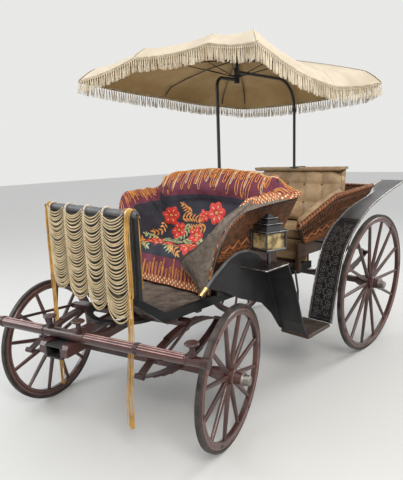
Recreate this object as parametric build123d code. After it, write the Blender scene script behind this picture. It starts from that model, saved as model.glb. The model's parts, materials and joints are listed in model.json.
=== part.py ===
"""Basket phaeton: a light horse drawn carriage for two rows of seats under a fringed canopy.

Millimetres. The carriage is laid out from the king pin: +X is its left side, +Y its rear,
+Z up, floor at zero. At the end everything is moved so that the origin is below the middle
of the whole object.
"""
from build123d import *
from math import cos, hypot, radians, sin, tan
import os

os.makedirs("parts", exist_ok=True)

# Driving dimensions
FRONT_R = 420            # front wheel, 33 inches across
REAR_R = 573             # rear wheel, 45 inches across
WHEELBASE = 1973.5
REAR_Y = WHEELBASE - 628.5   # foot of the rear basket, from which the rear body is laid out
TRACK = 1410             # outer edges of the tyres at the floor
TYRE_W = 28
TYRE_T = 18
CAMBER = 2.24            # degrees, tops of the wheels lean out
STEER_REST = 15.8        # degrees, the front carriage stands turned to its left
SEAT = 0.3               # gap where curved or soft faces meet on one body
ORIGIN_X = 80.0          # middle of the whole object, from the king pin
ORIGIN_Y = 912.6

SILL_X = 420             # outer face of the side sills
SILL_Z0 = 757            # underside of the body
SILL_Z1 = 812
FLOOR_Z = 780            # top of the floor boards
BODY_X = 445             # outer face of the seat boxes
FLARE = 23               # degrees, basket sides lean out

NODES = {}


def add(name, *shapes):
    """Keep one node; several solids on one body may share it."""
    solids = [solid for shape in shapes for solid in shape.solids()]
    NODES[name] = solids[0] if len(solids) == 1 else Compound(solids)


def block(x0, x1, y0, y1, z0, z1):
    return Pos((x0 + x1) / 2, (y0 + y1) / 2, (z0 + z1) / 2) * Box(x1 - x0, y1 - y0, z1 - z0)


def rod(start, end, radius, end_radius=None):
    """Round bar between two points, tapered when a second radius is given."""
    a, b = Vector(start), Vector(end)
    plane = Plane(origin=a, z_dir=(b - a))
    length = (b - a).length
    if end_radius is None:
        return Solid.make_cylinder(radius, length, plane)
    return Solid.make_cone(radius, end_radius, length, plane)


def side_plate(outline, x0, x1):
    """Plate with an outline in (y, z), between two values of x."""
    face = make_face(Polyline(*outline, close=True))
    return extrude(Plane.YZ.offset(x0) * face, x1 - x0)


def side_strip(path, thickness, x0, x1, radius):
    """Sheet bent along a path in (y, z), with rounded bends, between two values of x."""
    line = FilletPolyline(*path, radius=radius)
    return extrude(Plane.YZ.offset(x0) * trace(line, line_width=thickness), x1 - x0)


def rounded_plate(outline, radius, x0, x1):
    """Plate with an outline in (y, z) whose corners are round, between two values of x."""
    face = make_face(FilletPolyline(*outline, radius=radius, close=True))
    return extrude(Plane.YZ.offset(x0) * face, x1 - x0)


def both_sides(shape):
    return shape, mirror(shape, about=Plane.YZ)


def steered(shape):
    """Front carriage pieces are laid out straight, then turned about the king pin."""
    return Rot(0, 0, STEER_REST) * shape


def shell_solid(faces):
    return Solid(Shell([Face(Wire.make_polygon([Vector(*p) for p in f])) for f in faces]))


# Wheels
# columns: radius, y of the axle, spokes, dish of the spokes, nave radius
WHEEL_TABLE = {
    "front": dict(radius=FRONT_R, y=0, spokes=12, dish=16, nave=46),
    "rear": dict(radius=REAR_R, y=WHEELBASE, spokes=14, dish=22, nave=52),
}
FELLOE_T = 42
FELLOE_W = 34
NAVE_BACK = 95           # nave length behind the spokes
NAVE_FRONT = 80          # and in front of them
CAP_LENGTH = 52
ARM_R = 22
BORE_R = 22.05
SPOKE_ROOT_R = 16
SPOKE_TIP_R = 11.5
COLLAR_T = 12
COLLAR_GAP = 0.5
AXLE_HALF = 22           # half the square of the axle bar


def wheel_centre(row):
    """x and z of the middle of the wheel, tread flat on the floor."""
    c = radians(CAMBER)
    return TRACK / 2 - TYRE_W / 2 + row["radius"] * sin(c), row["radius"] * cos(c)


def hung(shape, row):
    """Put a piece laid along +X on the left wheel's leaning axis."""
    x, z = wheel_centre(row)
    return Pos(x, row["y"], z) * Rot(0, CAMBER, 0) * shape


def turned(profile):
    """Revolve (along, radius) points about the wheel's own axis."""
    return revolve(make_face(Polyline(*profile, close=True)), Axis.X)


def wheel_pieces(row):
    radius, dish, nave = row["radius"], row["dish"], row["nave"]
    rim = radius - TYRE_T
    slope = tan(radians(CAMBER))
    half = TYRE_W / 2
    tyre = turned([(-half, rim), (half, rim), (half, radius - half * slope),
                   (-half, radius + half * slope)])
    inner = rim - FELLOE_T
    w = FELLOE_W / 2
    felloe = turned([(-w + 5, inner), (w - 5, inner), (w, inner + 6), (w, rim - 6 - SEAT),
                     (w - 5, rim - SEAT), (-w + 5, rim - SEAT), (-w, rim - 6 - SEAT), (-w, inner + 6)])
    back, front = -dish - NAVE_BACK, -dish + NAVE_FRONT
    barrel = turned([(back, BORE_R), (back, nave - 10), (-dish - 40, nave), (-dish + 30, nave),
                     (-dish + 38, nave - 8), (front, nave - 14), (front, BORE_R)])
    wood = barrel + felloe
    for k in range(row["spokes"]):
        spoke = rod((-dish, 0, nave - 14), (0, 0, inner + 8), SPOKE_ROOT_R, SPOKE_TIP_R)
        wood += Rot(360 / row["spokes"] * (k + 0.5), 0, 0) * spoke
    bore = rod((back - 1, 0, 0), (front + 1, 0, 0), BORE_R)
    wood -= bore
    collar_r = nave - 6
    band = turned([(front, collar_r - 4), (front + 8, collar_r), (front + 14, collar_r - 4),
                   (front + 14, 32), (front + CAP_LENGTH - 6, 29), (front + CAP_LENGTH, 24),
                   (front + CAP_LENGTH, 0), (front, 0)])
    return wood, tyre, band


def arm_piece(row):
    """Axle arm inside the nave with its collar behind it, laid along +X."""
    back = -row["dish"] - NAVE_BACK
    front = -row["dish"] + NAVE_FRONT
    arm = rod((back - COLLAR_GAP - COLLAR_T, 0, 0), (front - 6, 0, 0), ARM_R)
    collar = rod((back - COLLAR_GAP - COLLAR_T, 0, 0), (back - COLLAR_GAP, 0, 0), 34)
    return arm + collar


def axle(row):
    x, z = wheel_centre(row)
    end = x - row["dish"] - NAVE_BACK - COLLAR_T
    height = z + (x - end) * tan(radians(CAMBER))
    beam = Pos(0, row["y"], height) * Box(2 * end, 2 * AXLE_HALF, 2 * AXLE_HALF)
    left = hung(arm_piece(row), row)
    return beam + left + mirror(left, about=Plane.YZ), height + AXLE_HALF


for end, row in WHEEL_TABLE.items():
    names = ("wheel", "tyre", "hub")
    for name, shape in zip(names, wheel_pieces(row)):
        left = hung(shape, row)
        right = mirror(left, about=Plane.YZ)
        if end == "front":
            left, right = steered(left), steered(right)
        add(f"{end}_left_{name}", left)
        add(f"{end}_right_{name}", right)

# Springs and axles
SPRING_HALF = 455
SPRING_RISE = 97         # from the middle of a half to its eyes
SPRING_W = 44
LEAF_T = 8
LEAVES = (1.0, 0.78, 0.6, 0.42)
SADDLE_T = 6             # saddle that clamps the leaves at the middle
SADDLE_HALF = 20
EYE_R = 15


def half_spring(x, y, z, way):
    """One half of an elliptic spring: stepped leaves; way is +1 when its eyes are above."""
    shape = None
    for k, share in enumerate(LEAVES):
        mid = z - way * k * (LEAF_T - 1)
        tip = mid + way * SPRING_RISE * share ** 2
        reach = SPRING_HALF * share
        arc = ThreePointArc((y - reach, tip), (y, mid), (y + reach, tip))
        leaf = extrude(Plane.YZ.offset(x - SPRING_W / 2) * trace(arc, line_width=LEAF_T), SPRING_W)
        shape = leaf if shape is None else shape + leaf
    return shape


def elliptic_spring(x, y, base):
    """Full elliptic spring standing on a seat at height base; gives its shape and its top."""
    pack = LEAF_T / 2 + (len(LEAVES) - 1) * (LEAF_T - 1)
    low = base + pack
    high = low + 2 * SPRING_RISE
    spring = half_spring(x, y, low, 1) + half_spring(x, y, high, -1)
    wide = SPRING_W / 2 + SADDLE_T
    grip = LEAF_T / 2 + SADDLE_T
    for z0, z1 in ((base, low + grip), (high - grip, high + pack)):
        spring += block(x - wide, x + wide, y - SADDLE_HALF, y + SADDLE_HALF, z0, z1)
    for way in (-1, 1):
        spring += rod((x - SPRING_W / 2 - 4, y + way * SPRING_HALF, low + SPRING_RISE),
                      (x + SPRING_W / 2 + 4, y + way * SPRING_HALF, low + SPRING_RISE), EYE_R)
    return spring, high + pack


FRONT_SPRING_X = 400
REAR_SPRING_X = 450
front_axle, front_seat_z = axle(WHEEL_TABLE["front"])
rear_axle, rear_seat_z = axle(WHEEL_TABLE["rear"])
add("front_axle", steered(front_axle))
add("rear_axle", rear_axle)
spring, FRONT_TOP = elliptic_spring(FRONT_SPRING_X, 0, front_seat_z)
add("front_springs", *[steered(s) for s in both_sides(spring)])
spring, REAR_TOP = elliptic_spring(REAR_SPRING_X, WHEELBASE, rear_seat_z)
add("rear_springs", *both_sides(spring))

# Front carriage
BED_T = 30
BED_Z = FRONT_TOP + BED_T    # top of the lower bed
BED_Y = 35
HALVING_Z = BED_Z - BED_T / 2
RING_R = 262
RING_W = 40
RING_T = 9
KING_R = 12
KING_BORE = 12.05
FUTCHELL_X = 76
FUTCHELL_HALF = 20
BAR_Y = -550
BAR_Z = 772
BAR_HALF = 820
BAR_R = 28
BAR_TIP_R = 23
BAR_END = 40
BAR_TAPER_X = 500        # the bar tapers outside this

BED_X = 440
bed = block(-BED_X, BED_X, -BED_Y, BED_Y, FRONT_TOP, BED_Z)
futchell_line = [(285, BED_Z), (-330, BED_Z), (-480, BAR_Z - 24), (-625, BAR_Z - 24), (-640, BAR_Z - 40),
                 (-640, BAR_Z - 82), (-500, BAR_Z - 84), (-330, BED_Z - 44), (285, BED_Z - 44)]
futchell = side_plate(futchell_line, FUTCHELL_X - FUTCHELL_HALF, FUTCHELL_X + FUTCHELL_HALF)
bar_hollow = rod((-200, BAR_Y, BAR_Z), (200, BAR_Y, BAR_Z), BAR_R + SEAT)
futchell -= bar_hollow + block(0, 200, -BED_Y, BED_Y, HALVING_Z, BED_Z + 1)
sway = block(-210, 210, 245, 280, BED_Z - 40, BED_Z)
futchells = futchell + mirror(futchell, about=Plane.YZ) + sway
for x in (-FUTCHELL_X, FUTCHELL_X):
    bed -= block(x - FUTCHELL_HALF, x + FUTCHELL_HALF, -BED_Y - 1, BED_Y + 1, FRONT_TOP - 1, HALVING_Z)
bed -= rod((0, 0, FRONT_TOP - 1), (0, 0, BED_Z + 1), KING_BORE)
add("lower_bed", steered(bed))
add("futchells", steered(futchells))


def flat_ring(z0, z1):
    return rod((0, 0, z0), (0, 0, z1), RING_R) - rod((0, 0, z0 - 1), (0, 0, z1 + 1), RING_R - RING_W)


LOWER_RING_Z = BED_Z
UPPER_RING_Z = LOWER_RING_Z + RING_T + 0.5
add("wheel_plate_lower", steered(flat_ring(LOWER_RING_Z, LOWER_RING_Z + RING_T)))

bar = rod((-BAR_TAPER_X, BAR_Y, BAR_Z), (BAR_TAPER_X, BAR_Y, BAR_Z), BAR_R)
bar_end = rod((BAR_TAPER_X, BAR_Y, BAR_Z), (BAR_HALF, BAR_Y, BAR_Z), BAR_R, BAR_TIP_R)
add("splinter_bar", steered(bar + bar_end + mirror(bar_end, about=Plane.YZ)))

ROLLERS = (100, 773)     # trace rollers along the bar
ROLLER_FOOT_R = 22
ROLLER_R = 36
irons = []
for x in ROLLERS:
    slim = max(0, x - ROLLER_FOOT_R - BAR_TAPER_X) / (BAR_HALF - BAR_TAPER_X)
    foot = BAR_Z + BAR_R - (BAR_R - BAR_TIP_R) * slim + SEAT
    profile = [(0, foot), (ROLLER_FOOT_R, foot), (ROLLER_FOOT_R, foot + 6), (13, foot + 12), (13, foot + 48),
               (ROLLER_R - 4, foot + 52), (ROLLER_R, foot + 57), (ROLLER_R - 6, foot + 63), (0, foot + 66)]
    lathe = revolve(Plane.XZ * make_face(Polyline(*profile, close=True)), Axis.Z)
    irons.append(Pos(x, BAR_Y, 0) * lathe)
cap = rod((BAR_HALF + SEAT, BAR_Y, BAR_Z), (BAR_HALF + BAR_END, BAR_Y, BAR_Z), BAR_TIP_R + 2)
irons.append(cap)
socket = block(-FUTCHELL_X + FUTCHELL_HALF, FUTCHELL_X - FUTCHELL_HALF, -640, -500, 672, 742)
socket -= block(-46, 46, -641, -508, 680, 734)
SOCKET_PIN_R = 8
SOCKET_PIN_Y = -608
socket -= rod((0, SOCKET_PIN_Y, 660), (0, SOCKET_PIN_Y, 745), SOCKET_PIN_R)
add("pole_socket", steered(socket))

STAY_X = 600
stay = rod((STAY_X, BAR_Y, BAR_Z - 42), (BED_X + 14, -BED_Y + 12, BED_Z - 14), 9)
stay += rod((STAY_X, BAR_Y, BAR_Z - 52), (STAY_X, BAR_Y, BAR_Z - BAR_R - SEAT), 12)
stay += block(BED_X + SEAT, BED_X + 22, -BED_Y + 2, BED_Y - 22, FRONT_TOP, BED_Z)
irons.append(stay)
add("splinter_irons", *[steered(s) for piece in irons for s in both_sides(piece)])

# Body underframe
TRAY_X = 395
TOE_Y = -70
REAR_RISER_Y = REAR_Y + 135
UPPER_Z = UPPER_RING_Z + RING_T
plate = flat_ring(UPPER_RING_Z, UPPER_Z)
plate += block(-RING_R + 10, RING_R - 10, -20, 20, UPPER_RING_Z, UPPER_Z)
plate += rod((0, 0, FRONT_TOP - 20), (0, 0, UPPER_Z), KING_R)
add("wheel_plate_upper", plate)
upper_x = SILL_X - 8
upper_bed = block(-upper_x, upper_x, -40, 40, UPPER_Z, SILL_Z0)
upper_bed += block(-upper_x, upper_x, 200, 240, UPPER_Z, SILL_Z0)
upper_bed += block(-30, 30, -40, 240, UPPER_Z, SILL_Z0)
add("upper_bed", upper_bed)

DASH_Y = -240
DASH_Z0 = 935
DASH_Z1 = 1390
DASH_X = 445
sill = side_plate([(TOE_Y, SILL_Z0), (REAR_RISER_Y + 20, SILL_Z0), (REAR_RISER_Y + 20, SILL_Z1),
                   (TOE_Y + 22, SILL_Z1), (DASH_Y + 12, DASH_Z0), (DASH_Y - 12, DASH_Z0),
                   (DASH_Y - 12, DASH_Z0 - 30)], TRAY_X, SILL_X)
add("side_sills", *both_sides(sill))
add("floor", side_plate([(REAR_RISER_Y, FLOOR_Z - 18), (REAR_RISER_Y, FLOOR_Z), (TOE_Y + 22, FLOOR_Z),
                         (DASH_Y + 12, DASH_Z0), (DASH_Y - 12, DASH_Z0), (DASH_Y - 12, DASH_Z0 - 14),
                         (TOE_Y + 9, FLOOR_Z - 18)], -TRAY_X, TRAY_X))

DASH_T = 22
dash = block(-DASH_X, DASH_X, DASH_Y - 6, DASH_Y + 6, DASH_Z0, DASH_Z1 - 15)
dash += block(-DASH_X, -DASH_X + 20, DASH_Y - DASH_T / 2, DASH_Y + DASH_T / 2, DASH_Z0, DASH_Z1 - 15)
dash += block(DASH_X - 20, DASH_X, DASH_Y - DASH_T / 2, DASH_Y + DASH_T / 2, DASH_Z0, DASH_Z1 - 15)
add("dash", dash)
RAIL_R = 22
rail = rod((-DASH_X - 8, DASH_Y, DASH_Z1), (DASH_X + 8, DASH_Y, DASH_Z1), RAIL_R)
rail -= block(-DASH_X - 1, DASH_X + 1, DASH_Y - 12, DASH_Y + 12, DASH_Z1 - 40, DASH_Z1 - 15)
add("dash_rail", rail)

WHIP_X = -DASH_X - 26
WHIP_Z0 = 1180
WHIP_Z1 = 1400
whip = rod((WHIP_X, DASH_Y, WHIP_Z0), (WHIP_X, DASH_Y, WHIP_Z1), 17)
whip += block(WHIP_X + 10, -DASH_X, DASH_Y - 6, DASH_Y + 6, WHIP_Z0 + 50, WHIP_Z0 + 65)
whip -= rod((WHIP_X, DASH_Y, WHIP_Z0 + 20), (WHIP_X, DASH_Y, WHIP_Z1 + 1), 11)
add("whip_socket", whip)

NET_Y = DASH_Y - 42
NET_X = 430
TAIL_X = 330
NET_Z0 = 905
TAIL_Z0 = 775            # the net's tails stop above the turning front carriage
NET_Z1 = DASH_Z1 + RAIL_R + SEAT
net = block(-NET_X, NET_X, NET_Y - 5, NET_Y + 5, NET_Z0, NET_Z1 + 6)
net += block(-NET_X, NET_X, NET_Y - 5, DASH_Y, NET_Z1, NET_Z1 + 6)
for x0, x1 in ((-NET_X, -TAIL_X), (TAIL_X, NET_X)):
    net += block(x0, x1, NET_Y - 5, NET_Y + 5, TAIL_Z0, NET_Z0)
add("fly_net", net)

# Seats
# columns: front of the side at its foot, front of the arm, top of the arm, back at foot and top, heights,
# height where the back leaves the sides and how far it arches above that
SEAT_TABLE = {
    "front": dict(foot=345, nose=345, hip=480, heel=960, tail=1030,
                  z0=1030, z_nose=1235, z_hip=1372, z_tail=1400,
                  back0=800, back1=860, back_side=1400, arch=140),
    "rear": dict(foot=REAR_Y, nose=REAR_Y - 170, hip=REAR_Y + 235, heel=REAR_Y + 715, tail=REAR_Y + 845,
                 z0=987, z_nose=1135, z_hip=1330, z_tail=1366,
                 back0=REAR_Y + 695, back1=REAR_Y + 815, back_side=1364, arch=8),
}
WICKER_T = 22
RIM_R = 15               # braided rim along the top of a basket's side
BASKET_CORNER = 24


def back_top(row):
    return row["back_side"] + row["arch"]


def flared(shape, z):
    """Lean a plate that stands on the seat box's edge outwards about its foot."""
    return Pos(BODY_X, 0, z) * Rot(0, FLARE, 0) * Pos(-BODY_X, 0, -z) * shape


def arched(row, grow=0):
    """Outline in (x, z) of a back: it widens with the sides, then closes in an arch."""
    slope = tan(radians(FLARE))
    inner = BODY_X - WICKER_T / cos(radians(FLARE)) - 0.5 + grow
    low = row["z0"] - BASKET_CORNER
    high = row["back_side"]
    wide = inner + (high - row["z0"]) * slope
    arch = row["arch"]
    right = [(inner - BASKET_CORNER * slope, low), (wide, high),
             (wide - 0.2 * arch, high + 0.8 * arch + grow)]
    left = [(-x, z) for x, z in reversed(right)]
    line = FilletPolyline(*right, (0, high + arch + grow), *left, radius=0.4 * arch, close=True)
    return make_face(Plane.XZ * line)


def basket(row):
    z0 = row["z0"]
    stretch = 1 / cos(radians(FLARE))
    lift = {key: z0 + (row[key] - z0) * stretch for key in ("z_nose", "z_hip", "z_tail")}
    outline = [(row["foot"], z0), (row["nose"], lift["z_nose"]), (row["hip"], lift["z_hip"]),
               (row["tail"], lift["z_tail"]), (row["heel"], z0)]
    side = rounded_plate(outline, BASKET_CORNER, BODY_X - WICKER_T, BODY_X)
    middle = BODY_X - WICKER_T / 2
    nose, hip, tail = [(middle, row[key], lift["z_" + key] - RIM_R) for key in ("nose", "hip", "tail")]
    nose = (nose[0], nose[1] + RIM_R, nose[2])
    tail = (tail[0], tail[1] - RIM_R, tail[2])
    side += rod(nose, hip, RIM_R) + Pos(*hip) * Sphere(RIM_R) + rod(hip, tail, RIM_R)
    side += Pos(*nose) * Sphere(RIM_R) + Pos(*tail) * Sphere(RIM_R)
    side = flared(side, z0)
    top = back_top(row)
    back = side_plate([(row["back0"], z0 + 1), (row["back1"], top), (row["back1"] + WICKER_T, top),
                       (row["back0"] + WICKER_T, z0 + 1)], -700, 700)
    return side, back & extrude(arched(row), -2 * WHEELBASE)


for name, row in SEAT_TABLE.items():
    side, back = basket(row)
    add(f"{name}_basket", *both_sides(side), back)

FRONT_BOARD_Z = 940
BOX_Y0 = 430
box_front = block(-BODY_X, BODY_X, BOX_Y0, 880, FLOOR_Z, FRONT_BOARD_Z)
box_front -= block(-BODY_X - 1, -TRAY_X, 0, 900, 700, SILL_Z1)
box_front -= block(TRAY_X, BODY_X + 1, 0, 900, 700, SILL_Z1)
for way in (-1, 1):
    inner, outer = sorted((way * (BODY_X - 20), way * BODY_X))
    box_front += block(inner, outer, 345, 980, SILL_Z1, 1030)
add("front_seat_box", box_front)
add("front_cushion", block(-BODY_X + 20.5, BODY_X - 20.5, BOX_Y0 + 5, 790, FRONT_BOARD_Z + SEAT, 1012))
CUSHION_Z = 1012
SQUAB_Z1 = 1500


def before_back(row, z, gap):
    """y just in front of a basket's leaning back."""
    lean = (row["back1"] - row["back0"]) / (back_top(row) - row["z0"] - 1)
    return row["back0"] + (z - row["z0"] - 1) * lean - gap


front = SEAT_TABLE["front"]
squab_face = 735
squab = side_plate([(squab_face, CUSHION_Z + SEAT), (before_back(front, CUSHION_Z, 0.6), CUSHION_Z + SEAT),
                    (before_back(front, SQUAB_Z1, 0.6), SQUAB_Z1), (squab_face + 55, SQUAB_Z1)],
                   -BODY_X + 30, BODY_X - 30)
add("front_squab", squab)

SHAWL_T = 10
shawl_in = BODY_X - 25
shawl_y = BOX_Y0 - SEAT
shawl_z = CUSHION_Z + SEAT
shawl = block(-shawl_in, shawl_in, shawl_y - SHAWL_T, shawl_y, SILL_Z1 + SEAT, shawl_z + SHAWL_T)
shawl += block(-shawl_in, shawl_in, shawl_y - SHAWL_T, squab_face - 1, shawl_z, shawl_z + SHAWL_T)
over_top = back_top(front) + 2 * SHAWL_T
rise = side_plate([(squab_face - 2 - SHAWL_T, shawl_z), (squab_face - 1, shawl_z),
                   (squab_face + 53, SQUAB_Z1), (squab_face + 53, over_top),
                   (squab_face + 43, over_top), (squab_face + 43, SQUAB_Z1)], -shawl_in, shawl_in)
shawl += rise & extrude(arched(front, SEAT + SHAWL_T), -2 * WHEELBASE)
over = extrude(arched(front, SEAT + SHAWL_T) - arched(front, SEAT), -2 * WHEELBASE)
over_y1 = front["back1"] + WICKER_T + SEAT
over &= block(-700, 700, squab_face + 43, over_y1, front["back_side"] + 28, over_top)
shawl += over
add("shawl", shawl)

REAR_BOX_Z0 = 885
REAR_BOX_Z1 = 987
rear_box = block(-BODY_X, BODY_X, REAR_Y - 55, REAR_Y + 745, REAR_BOX_Z0, REAR_BOX_Z1)
rear_box -= block(-SILL_X - 0.5, SILL_X + 0.5, REAR_Y - 65, REAR_RISER_Y, REAR_BOX_Z0 - 1, REAR_BOX_Z1 + 1)
rear_box += block(-TRAY_X, TRAY_X, REAR_RISER_Y, REAR_RISER_Y + 20, SILL_Z0, REAR_BOX_Z0)
for way in (-1, 1):
    inner, outer = sorted((way * SILL_X, way * BODY_X))
    rear_box += block(inner, outer, REAR_Y - 80, REAR_Y - 35, SILL_Z0, REAR_BOX_Z1)
add("rear_seat_box", rear_box)
REAR_CUSHION_Z = 1068
REAR_SEAT_X = BODY_X - 25
RAIL_Z0 = 1512
RAIL_Z1 = 1532
CUSHION_Y1 = REAR_Y + 523
SQUAB_TOP_Y = CUSHION_Y1 + 57
PANEL_Y = REAR_Y + 647     # front of the back panel at its foot
PANEL_LEAN = 40
PANEL_T = 20
add("rear_cushion", block(-REAR_SEAT_X, REAR_SEAT_X, REAR_Y + 105, CUSHION_Y1,
                          REAR_BOX_Z1 + SEAT, REAR_CUSHION_Z))


def before_panel(z):
    """y just in front of the rear back panel."""
    return PANEL_Y + PANEL_LEAN * (z - REAR_BOX_Z1) / (RAIL_Z0 - REAR_BOX_Z1) - SEAT


squab = side_plate([(CUSHION_Y1 + SEAT, REAR_CUSHION_Z), (before_panel(REAR_CUSHION_Z), REAR_CUSHION_Z),
                    (before_panel(RAIL_Z0), RAIL_Z0), (SQUAB_TOP_Y, RAIL_Z0)], -BODY_X + 10, BODY_X - 10)
add("rear_squab", squab)
rail_z = RAIL_Z0 + SEAT
rear_panel = side_plate([(PANEL_Y, REAR_BOX_Z1), (PANEL_Y + PANEL_T, REAR_BOX_Z1),
                         (PANEL_Y + PANEL_LEAN + PANEL_T, rail_z), (PANEL_Y + PANEL_LEAN, rail_z)],
                        -REAR_SEAT_X, REAR_SEAT_X)
rail_back = PANEL_Y + PANEL_LEAN + PANEL_T + 1
rear_panel += block(-BODY_X + 10, BODY_X - 10, SQUAB_TOP_Y, rail_back, rail_z, RAIL_Z1)
add("rear_back_panel", rear_panel)
BOLSTER_R = 52
bolster = rod((BODY_X - 30, REAR_Y - 45, REAR_CUSHION_Z + BOLSTER_R),
              (BODY_X + 20, REAR_Y + 585, REAR_CUSHION_Z + 277), BOLSTER_R)
bolster -= block(-BODY_X, BODY_X, REAR_Y - 200, CUSHION_Y1 + 100, REAR_BOX_Z1, REAR_CUSHION_Z + SEAT)
bolster -= side_plate([(CUSHION_Y1, REAR_CUSHION_Z), (SQUAB_TOP_Y - SEAT, RAIL_Z0), (PANEL_Y + 100, RAIL_Z0),
                       (PANEL_Y + 100, REAR_CUSHION_Z)], -BODY_X - 200, BODY_X + 200)
rim_x = BODY_X - WICKER_T / 2 - RIM_R - SEAT
outside = block(rim_x, BODY_X + 300, REAR_Y - 300, REAR_Y + 900, REAR_BOX_Z1 - 80, RAIL_Z0)
bolster -= flared(outside, REAR_BOX_Z1)
add("rear_bolsters", *both_sides(bolster))
FALL_T = 10
fall_y = REAR_RISER_Y - SEAT - FALL_T / 2
fall_path = [(REAR_Y + 99, 980), (REAR_Y + 83, 960), (fall_y, 880), (fall_y, 800)]
add("rear_fall", side_strip(fall_path, FALL_T, -380, 380, 15))

# Wings and steps
WING_IN = 500
WING_OUT = 700
STEP_Z = 400
STEP_Y0 = 985
STEP_Y1 = 1285
WING_TOP = [(215, 905), (300, 965), (410, 1030), (505, 1060), (600, 1058), (690, 1025), (756, 972)]
WING_BACK = [(800, 860), (860, 710), (924, 520), (985, 418)]
WING_UNDER = [(940, 440), (840, 576), (729, 680), (500, 770), (350, 850), (250, 888)]
wing_side = side_plate(WING_TOP + WING_BACK + WING_UNDER, WING_IN - 6, WING_IN)
wing_fall = side_strip([(741, 972), (800, 860), (860, 710), (924, 520), (985, 419)], 6, WING_IN, WING_OUT, 60)
shelf = block(WING_IN, WING_OUT, 512, 741, 968, 976)
add("front_wings", *both_sides(wing_side + wing_fall + shelf))

roll_path = [(212, 903), (300, 965), (410, 1030), (505, 1062), (600, 1058), (690, 1025), (750, 980)]
ROLL_X = WING_IN - 18
roll_line = FilletPolyline(*[(ROLL_X, y, z) for y, z in roll_path], radius=60)
roll = sweep(Plane(origin=(ROLL_X, *roll_path[0]), z_dir=roll_line % 0) * Circle(11.5), roll_line)
add("wing_rolls", *both_sides(roll))
tip_dir = (Vector(0, *roll_path[0]) - Vector(0, *roll_path[1])).normalized()
tip_a = Vector(ROLL_X, *roll_path[0]) + tip_dir * SEAT
ferrule = rod(tuple(tip_a), tuple(tip_a + tip_dir * 62), 15, 11)
add("wing_ferrules", *both_sides(ferrule))

# columns: y from the basket's foot, height
REAR_WING = [(-55, 416), (0, 600), (117, 905), (245, 1042), (380, 1132), (535, 1212), (805, 1290),
             (1267, 1384)]
rear_wing_path = [(REAR_Y + y, z) for y, z in REAR_WING]
# The wing narrows past the basket and flares again at its tail, in plan (x, y)
WING_PLAN = [(520, -145), (520, 295), (592, 735), (592, 885), (502, 1075), (500, 1355), (720, 1355),
             (720, -145)]
wing_cut = extrude(make_face(Polyline(*[(x, REAR_Y + y) for x, y in WING_PLAN], close=True)), 2000)
add("rear_wings", *both_sides(side_strip(rear_wing_path, 6, 500, 720, 90) & wing_cut))

IRON_R = 8
STEP_T = 22
STEP_IN = 480
STEP_OUT = 705
STEP_BOTTOM = STEP_Z + 12 - STEP_T
STEP_IRON_Z = STEP_BOTTOM - SEAT - IRON_R
STEP_IRON_X = STEP_IN - 12
add("steps", *both_sides(block(STEP_IN, STEP_OUT, STEP_Y0, STEP_Y1, STEP_BOTTOM, STEP_BOTTOM + STEP_T)))
body_side = BODY_X + SEAT
wing_side_x = WING_IN - 6 - SEAT
# Each row is one bent iron: the points that it runs through, outwards from the body
IRON_TABLE = [
    [(body_side, 600, 880), (wing_side_x, 600, 880)],
    [(body_side, 760, 880), (wing_side_x, 760, 880)],
    *[[(SILL_X + SEAT, y, 785), (SILL_X + 24, y, 785), (STEP_IRON_X, y, 640), (STEP_IRON_X, y, STEP_IRON_Z),
       (STEP_OUT - 15, y, STEP_IRON_Z)] for y in (1060, 1225)],
    [(body_side, REAR_Y + 189.3, 965.8), (650, REAR_Y + 189.3, 965.8)],
    [(body_side, REAR_Y + 685, 940), (BODY_X + 16, REAR_Y + 685, 940), (625, REAR_Y + 741, 1258)],
]
irons = []
for points in IRON_TABLE:
    iron = rod(points[0], points[1], IRON_R)
    for a, b in zip(points[1:], points[2:]):
        iron += Pos(*a) * Sphere(IRON_R) + rod(a, b, IRON_R)
    irons.append(iron)

lift = block(REAR_SPRING_X - 22, REAR_SPRING_X + 22, WHEELBASE - 60, WHEELBASE + 60, REAR_TOP, REAR_TOP + 12)
lift += block(400, 440, WHEELBASE - 60, WHEELBASE + 60, REAR_TOP, REAR_BOX_Z0)
irons.append(lift)
add("body_irons", *[s for iron in irons for s in both_sides(iron)])

# Lamps
LAMP_X, LAMP_Y = 632, 628
LAMP_TURN = -16
LAMP_HALF = 75
LAMP_Z0 = 1092
LAMP_GLASS = 108
lamp_base = Box(2 * LAMP_HALF, 2 * LAMP_HALF, 10)
lamp = Pos(0, 0, LAMP_Z0 - 5) * lamp_base
lamp += rod((0, 0, 976.3), (0, 0, LAMP_Z0 - 10), 12) + rod((0, 0, 976.3), (0, 0, 984), 26)
lamp += rod((0, 0, LAMP_Z0 - 30), (0, 0, LAMP_Z0 - 10), 14, 40)
corner = LAMP_HALF - 4
for sx in (-1, 1):
    for sy in (-1, 1):
        lamp += Pos(sx * corner, sy * corner, LAMP_Z0 + LAMP_GLASS / 2) * Box(8, 8, LAMP_GLASS)
roof_z = LAMP_Z0 + LAMP_GLASS
# columns: half width at the foot, half width at the top, height of each tier
ROOF = [(82, 82, 10), (70, 52, 34), (56, 56, 8), (44, 30, 26), (34, 34, 6), (24, 12, 22)]
for foot, top, height in ROOF:
    lower = Pos(0, 0, roof_z) * Rectangle(2 * foot, 2 * foot)
    upper = Pos(0, 0, roof_z + height) * Rectangle(2 * top, 2 * top)
    lamp += extrude(lower, height) if foot == top else loft([lower, upper])
    roof_z += height
glass = Pos(0, 0, LAMP_Z0 + LAMP_GLASS / 2) * (Box(2 * LAMP_HALF - 17, 2 * LAMP_HALF - 17, LAMP_GLASS)
                                               - Box(2 * LAMP_HALF - 23, 2 * LAMP_HALF - 23, LAMP_GLASS + 2))
at_lamp = Pos(LAMP_X, LAMP_Y, 0) * Rot(0, 0, LAMP_TURN)
add("lamps", *both_sides(at_lamp * lamp))
add("lamp_glass", *both_sides(at_lamp * glass))

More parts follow.
